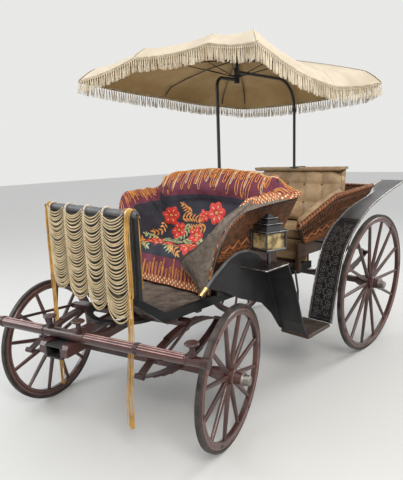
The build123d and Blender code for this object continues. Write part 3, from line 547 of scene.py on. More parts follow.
around, between, apart = hem_tips(BAY_STEPS)
shares = np.concatenate([np.linspace(0.03, SHOULDER, 15), np.linspace(SHOULDER, 1, 9)[1:]])
cloth = canopy_point(around[None], shares[:, None])
column = np.arange(len(around))
ruffle = np.sin(column * 1.9) * 0.4 + np.sin(column * 0.83 + 1)
cloth[..., 2] -= (BAY_DIP * apart * between)[None] * shares[:, None] ** 1.3
cloth[..., 2] += RUFFLE * ruffle[None] * shares[:, None] ** 3
cloth[..., 2] += OVER_RIB
over_arm = np.interp(cloth[..., 1], ARM_Y, ARM_TOP)
behind = (cloth[..., 1] > ARM_FROM) & (cloth[..., 1] < ARM_TO)
lift = np.maximum(over_arm - cloth[..., 2], 0) * behind
lift *= np.exp(-(cloth[..., 0] / RIDGE_HALF) ** 2)
cloth[..., 2] += lift
print("lifted over the rear arm by", round(float(lift.max()), 4), "m")

# %% [markdown]
# A canvas canopy is pale outside; its inside is painted a darker tan, which stands for the shade under it.
# So the sheet has two skins with a finish each, a cap that closes the middle and a hem between the skins.
# The inner skin's quads start from the same corner as the outer one's: split along the other diagonal,
# they would poke through each other.

# %% Two skins
# the underside's darker tan is painted shade under the canopy
CANVAS_UNDER = weathered("canopy_underside_painted_shade", (0.36, 0.235, 0.090), (0.54, 0.375, 0.175), 0.85, 2.0, 600, 0.0008)
canopy = Heap()
rows, count = cloth.shape[:2]
top = np.concatenate([cloth.reshape(-1, 3), [(0, HUB_Y, CROWN_Z + OVER_RIB)]])
below = top - (0, 0, CLOTH_T)
ring = np.arange(count)
cap = np.stack([np.full(count, rows * count), (ring + 1) % count, ring], -1)
skin = grid_faces(rows, count, closed=True)
canopy.add(top, skin)
canopy.add(top, cap)
canopy.add(below, skin[:, [0, 3, 2, 1]], 1)
canopy.add(below, cap[:, ::-1], 1)
hem = np.concatenate([cloth[-1], cloth[-1] - (0, 0, CLOTH_T)])
canopy.add(hem, grid_faces(2, count, closed=True))
cover = canopy.piece("canopy_cloth", [CANVAS, CANVAS_UNDER])
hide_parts("canopy_cover")

# %% [markdown]
# Canvas for an umbrella is cut in gores, one for each bay, and felled together over the ribs. A felled seam
# is four layers thick and shows as a narrow raised strip with a row of stitches on each side, so each seam
# here is a strip of its own, bent to the cloth.

# %% Seams over the ribs
SEAM_HALF, SEAM_FLAT = 0.007, 0.7  # half its width, and the share of it that is flat on top
SEAM_RISE = 0.0014
STITCH_OUT, STITCH_R = 0.0045, 0.0007


def beside(line):
    """The level way across a line, at each of its points."""
    return unit(np.cross(np.gradient(line, axis=0), (0, 0, 1.0)))


seams = Heap()
for tip in TIPS:
    line = canopy_point(tip[None], np.linspace(0.04, 1, 30)) + (0, 0, OVER_RIB + 0.0003)
    across = beside(line)
    raised = unit(np.cross(across, np.gradient(line, axis=0))) * SEAM_RISE
    strip = np.stack([line - across * SEAM_HALF, line - across * SEAM_HALF * SEAM_FLAT + raised,
                      line + across * SEAM_HALF * SEAM_FLAT + raised, line + across * SEAM_HALF], 1)
    seams.add(strip, grid_faces(*strip.shape[:2]))
    fine = smooth_path(line, 150)
    for way in (-1, 1):
        rail = fine + beside(fine) * way * STITCH_OUT + (0, 0, 0.0022)
        starts, ends = rail[:-1:2], rail[1::2]
        stitch = np.stack([starts, (starts + ends) / 2 + (0, 0, 0.0006), ends], 1)
        seams.add(*threads(stitch, STITCH_R), 1)
gore_seams = seams.piece("canopy_seams", [CANVAS, THREAD])

# %% [markdown]
# The fringe is bunches of soft cotton, knotted under a woven heading, each with its own swing. No old
# fringe hangs dead straight, so every bunch leans a little and every thread in it ends at its own length.
# The hem is measured first, so that bunches can be spaced along it.

# %% The line of the hem
fine_tips, fine_between, fine_apart = hem_tips(64)
hem_line = canopy_point(fine_tips, np.ones(len(fine_tips)))
hem_line[:, 2] -= BAY_DIP * fine_apart * fine_between
outward = unit((hem_line - (0, HUB_Y, 0)) * (1, 1, 0))
hem_ring, out_ring = np.vstack([hem_line, hem_line[:1]]), np.vstack([outward, outward[:1]])
travel = travelled(hem_ring)
HEM_LENGTH = travel[-1]


def on_hem(distance):
    """Points of the hem and the way outwards there, at distances along it."""
    d = np.mod(distance, HEM_LENGTH)
    return read_at(d, travel, hem_ring), unit(read_at(d, travel, out_ring))


print("hem", round(HEM_LENGTH, 2), "m")

# %% [markdown]
# The heading is two woven bands with a zigzag thread over them. The bands wave in step with the weave, one
# against the other, which catches the light as a braid does and costs only four points a step.

# %% The fringe's heading
BRAID_PITCH = 0.020
fringe = Heap()
band = np.arange(0, HEM_LENGTH, BRAID_PITCH / 2)
# columns: top and foot of the band from the hem, how far it stands out
for level, (top_z, low_z, proud) in enumerate(((0.003, -0.006, 0.0035), (-0.006, -0.015, 0.0045))):
    point, out = on_hem(band)
    wave = 0.0012 * np.sin(band * 2 * np.pi / BRAID_PITCH + level * np.pi)[:, None]
    front = point + out * (proud + wave)
    strip = np.stack([point + out * 0.0005 + (0, 0, top_z), front + (0, 0, top_z), front + (0, 0, low_z),
                      point - out * 0.002 + (0, 0, low_z)], 0)
    fringe.add(strip, grid_faces(4, len(band), closed=True))
zig = np.arange(0, HEM_LENGTH, BRAID_PITCH / 4)
point, out = on_hem(zig)
rise = np.where(np.arange(len(zig)) % 2, 0.002, -0.014)
zigzag = point + out * 0.006 + np.stack([rise * 0, rise * 0, rise], -1)
fringe.add(*threads(zigzag[None], 0.0011), 1)
print("heading woven")

# %% [markdown]
# The threads are three sided tubes with few stations, because there are about two thousand of them. Each
# bunch draws its lean and its length once, and each thread then wanders a little from its bunch. Drawing
# the numbers from one seeded source gives the same fringe each time.

# %% The fringe's threads
FRINGE = 0.104
BUNCH_PITCH = 0.021
THREADS_A_BUNCH = 7
KNOT_R, KNOT_DROP = 0.0048, 0.019
THREAD_R = 0.00125
PALE_THREAD = weathered("pale_thread", (0.62, 0.54, 0.42), (0.82, 0.75, 0.62), 0.8, 12, 500, 0.0004)

bunches = int(HEM_LENGTH / BUNCH_PITCH)
middle = (np.arange(bunches) + 0.5) * HEM_LENGTH / bunches
knots, out = on_hem(middle)
fringe.add(*beads(knots + out * 0.003 + (0, 0, -KNOT_DROP), KNOT_R), 1)
lean = RANDOM.normal(0, 0.006, bunches)
depth = FRINGE - 0.004 - np.abs(RANDOM.normal(0, 0.006, bunches))
total = bunches * THREADS_A_BUNCH
which = np.repeat(np.arange(bunches), THREADS_A_BUNCH)
place = np.tile(np.arange(THREADS_A_BUNCH) - (THREADS_A_BUNCH - 1) / 2, bunches)
fall = np.linspace(0, 1, 6)
spread = place[:, None] * (0.0009 + 0.0021 * fall[None] ** 0.8) + lean[which][:, None] * fall[None]
spread += RANDOM.normal(0, 0.0015, total)[:, None] * np.sin(fall[None] * 5)
base, out = on_hem(middle[which])
ahead, _ = on_hem(middle[which] + 0.004)
run = unit(ahead - base) * (1, 1, 0)
length = depth[which] - np.abs(RANDOM.normal(0, 0.003, total))
swing = 0.003 + RANDOM.normal(0.002, 0.002, total)[:, None] * fall
paths = base[:, None] + run[:, None] * spread[..., None] + out[:, None] * swing[..., None]
paths[..., 2] -= 0.018 + (length[:, None] - 0.018) * fall[None]
thick = THREAD_R * np.where(fall > 0.9, 0.75, 1.0)[None]
tube, tube_faces = threads(paths, thick)
pale = (RANDOM.random(total) > 0.45).astype(int)
fringe.add(tube, tube_faces, pale.repeat(len(tube_faces) // total))
trimming = fringe.piece("canopy_fringe_threads", [THREAD, PALE_THREAD])
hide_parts("canopy_fringe")
print(bunches, "bunches and", total, "threads")

# %% [markdown]
# The steps between neighbouring points of the canopy's grid are taken here, down the cloth and round the hub.

down, round_hub = cloth[1:] - cloth[:-1], np.roll(cloth, -1, 1)[:-1] - cloth[:-1]

# %% [markdown]
# A fly net hangs over the dash: five knotted cords with loose loops slung between them, and a long bundle
# of gold strands at each side. The cords come first. Each starts behind the dash rail, passes over its
# leather and hangs in front of it, with a row of small knots along it.

# %% The net's cords
DASH_Y, DASH_TOP = -0.240, 1.412
RAIL_Z = DASH_TOP - 0.022  # middle of the padded rail
RAIL_OUT = 0.032  # how far a cord stands before and behind that middle
NET_Y = -0.284
NET_DEPTH = 0.6
CORD_X = (-0.386, -0.196, 0.009, 0.192, 0.396)
CORD_END_Z = (0.975, 0.955, 0.915, 0.900, 0.850)
CORD_R = 0.0028
KNOTS = 53
GOLD_THREAD = weathered("gold_strand", (0.36, 0.19, 0.035), (0.62, 0.36, 0.09), 0.75, 16, 420, 0.0005)
net = Heap()


def over_rail(x, low_z):
    """A line that starts behind the dash rail, passes over its top and hangs in front of it."""
    bend = np.linspace(0.15 * np.pi, np.pi, 6)
    top = np.stack([bend * 0 + x, DASH_Y + RAIL_OUT * np.cos(bend), RAIL_Z + 0.027 * np.sin(bend)], -1)
    fall = np.linspace(0, 1, 30)[1:]
    front_y = DASH_Y - RAIL_OUT
    hang = np.stack([fall * 0 + x, front_y + (NET_Y - front_y) * np.minimum(1, fall * 5),
                     RAIL_Z + (low_z - RAIL_Z) * fall], -1)
    return np.concatenate([top, hang])


def pull(x, z):
    """Sideways lean of the net: its foot is drawn towards the near side."""
    low = (DASH_TOP - z) / NET_DEPTH
    return 0.012 * low * (1 + x * 0.8)


for x, low in zip(CORD_X, CORD_END_Z):
    cord = over_rail(x, low)
    cord[:, 0] += pull(x, cord[:, 2])
    net.add(*threads(cord[None], CORD_R, 5))
    knots = smooth_path(cord, KNOTS + 3)[3:]
    net.add(*beads(knots, 0.0058 + 0.0008 * np.sin(np.arange(KNOTS) * 2.2), 6, 3), 1)
print(len(CORD_X), "cords with", KNOTS, "knots each")

# %% [markdown]
# A slack line hangs in a catenary, which is so near to a parabola at this depth that a parabola is used.
# Each loop is a pair of strings. The loops grow deeper downwards, and each differs a little from the last.

# %% The loops between the cords
LOOPS = 33
LOOP_R = 0.0021
share = np.linspace(0, 1, 13)
slack = (4 * share * (1 - share)) ** 0.9
for x0, x1, end0, end1 in zip(CORD_X, CORD_X[1:], CORD_END_Z, CORD_END_Z[1:]):
    low = (end0 + end1) / 2
    level = DASH_TOP - 0.004 + (low - DASH_TOP - 0.012) * (np.arange(LOOPS) + 0.5) / LOOPS
    dip = 0.040 + 0.022 * np.linspace(0, 1, LOOPS) + RANDOM.normal(0, 0.0035, LOOPS)
    for strand in range(2):
        bulge = (0.6 + 0.4 * RANDOM.random(LOOPS))[:, None]
        x = x0 + (x1 - x0) * share + pull(x0, level)[:, None]
        y = NET_Y - 0.004 - 0.010 * np.sin(np.pi * share)[None] * bulge
        z = level[:, None] - (dip + strand * 0.0045)[:, None] * slack[None]
        net.add(*threads(np.stack([x, y, z], -1), LOOP_R, 4))
print(LOOPS, "loops in each of", len(CORD_X) - 1, "bays")

# %% [markdown]
# A bundle is many loose strands that follow the same stations, so it is one base line repeated, with each
# repeat pushed aside and given its own slow wander. The ends are trimmed unevenly, as cut strands are. A
# third, smaller bundle hangs inside the dash at the near side.

# %% Gold strands at both sides
STRAND_R = 0.0026


def bundle(heap, count, stations, width, mark, wander=0.004):
    """Loose strands that follow the same stations, spread over a width."""
    fall = np.linspace(0, 1, 24)
    paths = np.repeat(smooth_path(stations, 24)[None], count, 0)
    aside = np.linspace(-0.5, 0.5, count)[:, None]
    paths[..., 0] += aside * (width * (1 - 0.25 * np.sin(np.pi * fall)))[None]
    pace, start = RANDOM.uniform(4, 9, (count, 1)), RANDOM.uniform(0, 6, (count, 1))
    paths[..., 0] += wander * np.sin(fall[None] * pace + start)
    forward, start = RANDOM.normal(0, 0.0035, (count, 1)), RANDOM.uniform(0, 6, (count, 1))
    paths[..., 1] += forward + 0.003 * np.sin(fall[None] * 5 + start)
    paths[:, -1, 2] += np.abs(RANDOM.normal(0, 0.012, count))
    heap.add(*threads(paths, STRAND_R, 4), mark)


def over_the_end(x, foot_x):
    """Stations of a side bundle: up behind the dash rail, over it and down to the net's foot."""
    return [(x, DASH_Y + 0.030, 1.370), (x, DASH_Y, 1.4165), (x, DASH_Y - 0.034, 1.385),
            (x + 0.002, NET_Y, 1.25), (x + 0.004, NET_Y, 1.02), (foot_x, NET_Y, 0.95)]


bundle(net, 12, over_the_end(0.412, 0.404), 0.052, 2)
bundle(net, 12, over_the_end(-0.412, -0.406), 0.050, 2)
inner = [(0.395, DASH_Y - 0.026, 1.40), (0.395, DASH_Y, 1.4175), (0.395, DASH_Y + 0.036, 1.37),
         (0.380, -0.188, 1.15), (0.362, -0.186, 0.965)]
bundle(net, 9, inner, 0.060, 2)
fly_net = net.piece("fly_net_cords", [NET_CORD, PALE_THREAD, GOLD_THREAD])
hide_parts("fly_net")

# %% [markdown]
# The longest strands reach down past the dash into the space in front of the axle, where the fore carriage
# swings. Held at the top and brushed by the irons at the bottom, they belong to both, so this piece rides on
# no body: it stays where it is made, with its place baked into its points.

# %% The long strands
NEAR_FALL = [(0.404, NET_Y, 0.955), (0.395, NET_Y, 0.78), (0.376, -0.287, 0.60), (0.362, -0.29, 0.40),
             (0.352, -0.29, 0.185)]
FAR_FALL = [(-0.406, NET_Y, 0.955), (-0.408, NET_Y, 0.80), (-0.402, -0.287, 0.62), (-0.398, -0.29, 0.42),
            (-0.392, -0.29, 0.200)]
long_strands = Heap()
bundle(long_strands, 12, NEAR_FALL, 0.052, 0, 0.005)
bundle(long_strands, 9, FAR_FALL, 0.040, 0, 0.004)
strands = long_strands.piece("fly_net_long_strands", [GOLD_THREAD], body=None)
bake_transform(strands)

# %% [markdown]
# A stuffed seat is never a block. Its top swells between the seams, its sides are drawn in at the piping,
# and every button pulls a dimple with folds running from it. Here each cushion starts as two grids, its top
# and its underside, with rows of points round the side between them. A formula then swells the top.

# %% How a cushion is made
WALL_ROWS = 5


def pillow(t, power=4):
    """Height share across one stuffed panel: nothing at its seams and full over most of its width."""
    return 1 - np.abs(2 * t - 1) ** power


def stuffed(heap, face, back, bulge):
    """Closed form between two grids whose edges face each other, with sides that swell by bulge."""
    heap.add(face, grid_faces(*face.shape[:2]))
    heap.add(back, grid_faces(*back.shape[:2])[:, ::-1])
    edge = border(*face.shape[:2])
    high, low = face.reshape(-1, 3)[edge], back.reshape(-1, 3)[edge]
    centre = (high.mean(0) + low.mean(0)) / 2
    thick = unit(high.mean(0) - low.mean(0))
    out = (high + low) / 2 - centre
    out = unit(out - (out @ thick)[:, None] * thick)
    t = np.linspace(0, 1, WALL_ROWS)[:, None, None]
    wall = low[None] * (1 - t) + high[None] * t + out[None] * bulge * 4 * t * (1 - t)
    heap.add(wall, grid_faces(WALL_ROWS, len(edge), closed=True))
    return high, low


def piping(heap, line, radius, mark=0):
    """A round cord sewn all along a closed seam."""
    heap.add(*threads(np.concatenate([line, line[:2]])[None], radius, 6), mark)


def flat_grid(origin, along, across, rows, columns):
    """Points of a flat panel from a corner and two sides, with the share of each side."""
    r, c = np.meshgrid(np.linspace(0, 1, rows), np.linspace(0, 1, columns), indexing="ij")
    origin, along, across = (np.asarray(v, float) for v in (origin, along, across))
    return origin + r[..., None] * along + c[..., None] * across, r, c


print("cushions are two grids and a wall")

# %% [markdown]
# The front cushion and its squab lie under the shawl. They are modelled whole all the same, because they
# carry it and each is a piece of its own. Both are plain channelled upholstery, so a row of
# pillow curves side by side is all that their faces need.

# %% Front cushion
CUSHION_CHANNELS = 4
front_seat = Heap()
face, r, c = flat_grid((-0.424, 0.436, 1.000), (0, 0.352, 0), (0.848, 0, 0), 25, 45)
face[..., 2] += 0.011 * pillow(r) * pillow(np.mod(c * CUSHION_CHANNELS, 1)) + 0.001
under, _, _ = flat_grid((-0.424, 0.436, 0.9405), (0, 0.352, 0), (0.848, 0, 0), 25, 45)
high, _ = stuffed(front_seat, face, under, 0.0)
piping(front_seat, high + (0, 0, 0.001), 0.004)
front_pad = front_seat.piece("front_seat_cushion", [TAN_LEATHER])
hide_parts("front_cushion")

# %% Front squab
SQUAB_CHANNELS = 5
squab = Heap()
face, r, c = flat_grid((-0.413, 0.736, 1.014), (0, 0.055, 0.484), (0.826, 0, 0), 33, 57)
forward = unit(np.array((0, -0.484, 0.055)))
swell = 0.004 + 0.012 * pillow(np.mod(c * SQUAB_CHANNELS, 1), 3) * pillow(r, 6)
face += swell[..., None] * forward
face -= (0.012 * (1 - pillow(r, 8)))[..., None] * forward
under, _, _ = flat_grid((-0.413, 0.794, 1.014), (0, 0.046, 0.484), (0.826, 0, 0), 33, 57)
high, _ = stuffed(squab, face, under, 0.0)
piping(squab, high, 0.004)
front_back = squab.piece("front_seat_squab", [TAN_LEATHER])
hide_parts("front_squab")

# %% [markdown]
# The rear seat shows its leather. Its squab is tufted in wide panels, with a row of buttons at two heights,
# a seam between each pair, and a fold from each button to the top, where the corners are well rounded.
# Height is a product of three shares: the panel across, the panel up and the dimple round each button.

# %% Rear squab
SQUAB_HALF = 0.433
SQUAB_ROWS, SQUAB_COLUMNS = 81, 171
BUTTON_ROWS = (0.36, 0.72)
BUTTON_BAYS = 5
BUTTON_R = 0.0085
DIMPLE = 0.028
SQUAB_FOOT_Y, SQUAB_TOP_Y = 1.870, 1.928
# a darker copy of the tan leather, painted shade: used on the piping, seams and cords and over the rear rail's top
TAN_SHADE = weathered("tan_leather_painted_shade", (0.20, 0.115, 0.060), (0.36, 0.235, 0.135), 0.55, 5, 300, 0.0006)
BUTTON_BROWN = weathered("button_leather", (0.10, 0.055, 0.028), (0.20, 0.12, 0.065), 0.45, 20, 300, 0.0004)


def tufted(r, c, depth):
    """Height of tufted leather: seams down each bay and between the buttons of a row."""
    across = pillow(np.mod(c * BUTTON_BAYS, 1), 2.4)
    levels = (0, *BUTTON_ROWS, 1)
    up = np.zeros_like(r)
    for low, high in zip(levels, levels[1:]):
        t = (r - low) / (high - low)
        up = np.where((t >= 0) & (t <= 1), pillow(t, 3), up)
    near = np.ones_like(r)
    for row in BUTTON_ROWS:
        for bay in range(1, BUTTON_BAYS):
            apart = np.hypot((c - bay / BUTTON_BAYS) * 0.87, (r - row) * 0.45)
            near = np.minimum(near, apart / DIMPLE)
    dimple = np.clip(near, 0, 1) ** 0.8
    return depth * (0.30 + 0.70 * across * (0.45 + 0.55 * up)) * (0.25 + 0.75 * dimple)


rear_squab = Heap()
face, r, c = flat_grid((-SQUAB_HALF, SQUAB_FOOT_Y, 1.070), (0, SQUAB_TOP_Y - SQUAB_FOOT_Y, 0.440),
                       (2 * SQUAB_HALF, 0, 0), SQUAB_ROWS, SQUAB_COLUMNS)
round_off = np.clip((r - 0.80) / 0.20, 0, 1)
face[..., 0] = (c - 0.5) * 2 * (SQUAB_HALF - 0.060 * (1 - np.sqrt(1 - round_off ** 2 * 0.96)))
to_side = np.abs(2 * c - 1)
face[..., 2] -= 0.045 * np.clip((to_side - 0.86) / 0.14, 0, 1) ** 2 * r ** 6
forward = unit(np.array((0, -0.440, 0.058)))
height = tufted(r, c, 0.032)
height -= 0.024 * (1 - pillow(r, 10)) + 0.020 * (1 - pillow(c, 14))
face += height[..., None] * forward + np.array((0, 0.026, 0))
under = face.copy()
under[..., 1] = 1.985 + 0.040 * r
high, _ = stuffed(rear_squab, face, under, 0.004)
piping(rear_squab, high - forward * 0.002, 0.0045, 1)
places = []
for row in BUTTON_ROWS:
    for bay in range(1, BUTTON_BAYS):
        i, j = int(row * (SQUAB_ROWS - 1)), int(bay / BUTTON_BAYS * (SQUAB_COLUMNS - 1))
        places.append(face[i, j] + forward * 0.003)
rear_squab.add(*beads(places, BUTTON_R, 10, 5), 2)
rear_back = rear_squab.piece("rear_seat_squab", [TAN_LEATHER, TAN_SHADE, BUTTON_BROWN])
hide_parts("rear_squab")

# %% [markdown]
# The rear cushion is one broad box with a crowned top and piping round both its edges. Three soft swells
# across the crown show where it has been sat on. They are kept shallow, because a deep wave would look
# like channels.

# %% Rear cushion
REAR_SEAT_Z = 1.068
rear_seat = Heap()
face, r, c = flat_grid((-0.418, 1.452, REAR_SEAT_Z - 0.014), (0, 0.412, 0), (0.836, 0, 0), 41, 85)
crown = 0.020 * pillow(r, 4) * pillow(c, 8) * (0.80 + 0.20 * pillow(np.mod(c * 3, 1), 3))
face[..., 2] += crown - 0.004 * (1 - r)
under, _, _ = flat_grid((-0.418, 1.452, 0.9878), (0, 0.412, 0), (0.836, 0, 0), 41, 85)
high, low = stuffed(rear_seat, face, under, 0.006)
piping(rear_seat, high, 0.0045, 1)
piping(rear_seat, low + (0, 0, 0.006), 0.0040, 1)
rear_pad = rear_seat.piece("rear_seat_cushion", [TAN_LEATHER, TAN_SHADE])
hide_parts("rear_cushion")

# %% [markdown]
# The arm rolls are loose sausages held down by four buttons each. One thick thread with many sides makes
# a roll: its radius goes to nothing at the two ends, as a dome does, and narrows at each button. The roll
# is worked out once and mirrored, so both are cut from the same pattern.

# %% Arm rolls
ROLL_START, ROLL_END = np.array((0.418, 1.315, 1.128)), np.array((0.462, 1.880, 1.326))
ROLL_BUTTONS = (0.14, 0.37, 0.60, 0.83)
ROLL_STEPS, ROLL_SIDES = 61, 24
ROLL_R = 0.047
BUTTON_OUT = 0.03956
arms = Heap()
t = np.linspace(0, 1, ROLL_STEPS)
line = ROLL_START + (ROLL_END - ROLL_START) * t[:, None]
line[:, 2] += 0.012 * np.sin(np.pi * t) - 0.004 * np.sin(3 * np.pi * t)
from_end = np.minimum(t, 1 - t) / 0.07
dome = np.sqrt(1 - (1 - from_end).clip(0) ** 2)
pinch = sum(np.exp(-((t - button) / 0.035) ** 2) for button in ROLL_BUTTONS)
radius = (ROLL_R - 0.004 * pinch) * dome + 0.001
roll, roll_faces = threads(line[None], radius[None], ROLL_SIDES)
roll = roll.reshape(ROLL_STEPS, ROLL_SIDES, 3)
roll[..., 0] = line[:, None, 0] + (roll[..., 0] - line[:, None, 0]) * 0.80
for way in (-1, 1):
    arms.add(roll * (way, 1, 1), roll_faces if way > 0 else roll_faces[:, ::-1])
    inwards = unit(np.array((-0.62 * way, -0.20, 0.76)))
    places = [line[int(button * 60)] * (way, 1, 1) + inwards * BUTTON_OUT for button in ROLL_BUTTONS]
    arms.add(*beads(places, BUTTON_R, 10, 5), 1)
    seam = (line[2:-2] + (0.036, 0, -0.012)) * (way, 1, 1)
    arms.add(*threads(seam[None], 0.0032, 6), 2)
arm_rolls = arms.piece("rear_arm_rolls", [TAN_LEATHER, BUTTON_BROWN, TAN_SHADE])
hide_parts("rear_bolsters")

# %% [markdown]
# A strip of leather falls from under the rear cushion over the front of its box. It is a real sheet, so it
# gets two sides and an edge. It is tacked at its top and its foot, where
# a cord is sewn on, and may only wave between the two, which an arch over its height takes care of.

# %% Leather fall in front of the rear seat
FALL_HALF, FALL_T = 0.392, 0.004
FALL_ROWS, FALL_COLUMNS = 40, 60
profile = smooth_path([(0, 1.446, 0.982), (0, 1.430, 0.968), (0, 1.436, 0.935), (0, 1.456, 0.900),
                       (0, 1.4745, 0.865), (0, 1.4755, 0.802)], FALL_ROWS)
columns = np.linspace(FALL_HALF, -FALL_HALF, FALL_COLUMNS)
t = np.linspace(0, 1, FALL_ROWS)[:, None]
grid = np.repeat(profile[:, None], FALL_COLUMNS, 1)
grid[..., 0] = columns
grid[..., 1] += 0.0030 * np.sin(columns * 21)[None] * 4 * t * (1 - t)
leather = Heap()
leather.add(*whole_cloth(grid, FALL_T))
for row in (1, FALL_ROWS - 2):
    leather.add(*threads(grid[row][None] + (0, -0.0015, 0), 0.0022, 6), 1)
seat_fall = leather.piece("rear_seat_fall", [TAN_LEATHER, TAN_SHADE])
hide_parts("rear_fall")

# %% [markdown]
# An embroidered shawl is thrown over the front seat. It lies over the top of the back and the two basket
# sides, follows the squab down, covers the cushion and hangs over its front. It could be dropped on the
# seat by a cloth simulation, but its lie is known, so it is set as a draper would: stations from the back
# to the hem, each with its middle, its inner corner, the basket's rim and its edge, and one smooth surface
# through them all.

# %% The shawl's lie
# columns: y z in the middle, x y z where it leaves the flat, x y z on the basket's rim, x y z at its edge
LIE = [
    (0.884, 1.535, 0.400, 0.884, 1.512, 0.520, 0.884, 1.470, 0.556, 0.892, 1.430),
    (0.850, 1.562, 0.400, 0.850, 1.540, 0.528, 0.862, 1.500, 0.572, 0.925, 1.440),
    (0.785, 1.560, 0.405, 0.790, 1.535, 0.540, 0.842, 1.490, 0.596, 0.975, 1.420),
    (0.742, 1.500, 0.415, 0.750, 1.475, 0.565, 0.840, 1.460, 0.620, 1.005, 1.398),
    (0.726, 1.430, 0.424, 0.738, 1.405, 0.590, 0.830, 1.434, 0.630, 0.950, 1.378),
    (0.736, 1.372, 0.428, 0.734, 1.340, 0.598, 0.790, 1.420, 0.631, 0.860, 1.372),
    (0.752, 1.335, 0.428, 0.734, 1.290, 0.598, 0.750, 1.412, 0.630, 0.770, 1.368),
    (0.738, 1.220, 0.424, 0.722, 1.210, 0.597, 0.670, 1.408, 0.628, 0.680, 1.362),
    (0.716, 1.100, 0.420, 0.702, 1.120, 0.596, 0.600, 1.404, 0.625, 0.600, 1.358),
    (0.690, 1.046, 0.418, 0.660, 1.070, 0.594, 0.550, 1.399, 0.620, 0.545, 1.352),
    (0.600, 1.034, 0.416, 0.580, 1.058, 0.590, 0.510, 1.393, 0.612, 0.500, 1.345),
    (0.500, 1.036, 0.414, 0.490, 1.052, 0.580, 0.460, 1.376, 0.592, 0.445, 1.330),
    (0.435, 1.034, 0.412, 0.425, 1.046, 0.556, 0.385, 1.315, 0.566, 0.365, 1.275),
    (0.398, 1.008, 0.408, 0.392, 1.016, 0.500, 0.340, 1.180, 0.520, 0.325, 1.150),
    (0.384, 0.950, 0.404, 0.372, 0.960, 0.440, 0.335, 1.040, 0.455, 0.322, 1.020),
    (0.370, 0.880, 0.400, 0.356, 0.885, 0.418, 0.332, 0.930, 0.425, 0.320, 0.905),
    (0.358, 0.800, 0.390, 0.344, 0.800, 0.402, 0.334, 0.805, 0.408, 0.326, 0.800),
]
SHAWL_ROWS, SHAWL_COLUMNS = 133, 155
SHAWL_T = 0.0028
FINE_ROWS = 600


def shawl_station(yc, zc, xi, yi, zi, xr, yr, zr, xe, ye, ze):
    """Eleven points across the shawl at one station, from the near edge to the far edge."""
    zm = (zi + zr) / 2 - 0.012
    basket_side = 0.445 + (zm - 1.03) * 0.4245
    xm = min((xi + xr) / 2 + 0.012, basket_side - 0.048)
    ym = (yi + yr) / 2 - 0.060 * math.exp(-((yc - 0.42) / 0.05) ** 2)
    near = [(xe, ye, ze), (xr - 0.004, yr, zr + 0.012), (xm, ym, zm), (xi, yi, zi),
            (xi * 0.55, (yc * 2 + yi) / 3, (zc * 2 + zi) / 3)]
    return near + [(0, yc, zc)] + [(-x, y, z) for x, y, z in near[::-1]]


table = np.array([shawl_station(*row) for row in LIE])
fine = np.stack([smooth_path(table[:, j], FINE_ROWS) for j in range(table.shape[1])], 1)
travel = travelled(fine[:, table.shape[1] // 2])
SHAWL_LENGTH = travel[-1]
rows_at = np.interp(np.linspace(0, SHAWL_LENGTH, SHAWL_ROWS), travel, np.arange(FINE_ROWS))
low_row = rows_at.astype(int).clip(0, FINE_ROWS - 2)
part = (rows_at - low_row)[:, None, None]
stations = fine[low_row] * (1 - part) + fine[low_row + 1] * part
shawl = np.stack([evenly(smooth_path(line, 300), SHAWL_COLUMNS) for line in stations])
WIDTHS = np.linalg.norm(np.diff(shawl, axis=1), axis=2).sum(1)
# V is metres from the back edge and U metres from the middle, at each point of the cloth
V = np.linspace(0, SHAWL_LENGTH, SHAWL_ROWS)[:, None] + np.zeros(SHAWL_COLUMNS)
U = np.linspace(0.5, -0.5, SHAWL_COLUMNS)[None] * WIDTHS[:, None]
print("shawl", round(float(SHAWL_LENGTH), 2), "long and", WIDTHS[::44].round(2), "wide")

# %% [markdown]
# Cloth folds where it has room and lies flat where it is held. So the folds are sine waves along the cloth,
# each scaled by where it may be: upright ones where it hangs over the seat's front, slanting ones on the
# basket sides, and very low ones all over. Two single swells keep it off the squab and the cushion's edge.

# %% Its folds
out = normals(shawl)
slack = np.clip((np.abs(U) - 0.40) / 0.12, 0, 1)
seat_front = np.clip((V - (SHAWL_LENGTH - 0.26)) / 0.2, 0, 1)
folds = 0.0045 * np.sin(U * 26 + 1.4 * np.sin(V * 5)) * seat_front
folds += 0.005 * np.sin(V * 34 + U * 9 + 1.5 * np.sin(V * 13)) * slack * (1 - seat_front)
folds += 0.0030 * np.sin(V * 15 - U * 9 + 0.8) + 0.0016 * np.sin(U * 37 + V * 21)
folds += 0.014 * np.exp(-((V - 0.235) / 0.05) ** 2) * (1 - slack)
folds += 0.024 * np.exp(-((V - SHAWL_LENGTH + 0.262) / 0.024) ** 2) * (1 - slack)
shawl = shawl + out * (0.003 + folds)[..., None]
# the far rim has a corner where the basket's side begins to fall, and the cloth rises over it
CORNER, REACH = np.array([-0.590, 0.470, 1.375]), np.array([0.050, 0.085, 0.070])
corner = np.exp(-(((shawl - CORNER) / REACH) ** 2).sum(-1))
shawl = shawl + corner[..., None] * (0.006, 0, 0.016)
SHAWL_OUT = normals(shawl)
print("the cloth faces", SHAWL_OUT[SHAWL_ROWS // 2, SHAWL_COLUMNS // 2].round(2), "on the seat")


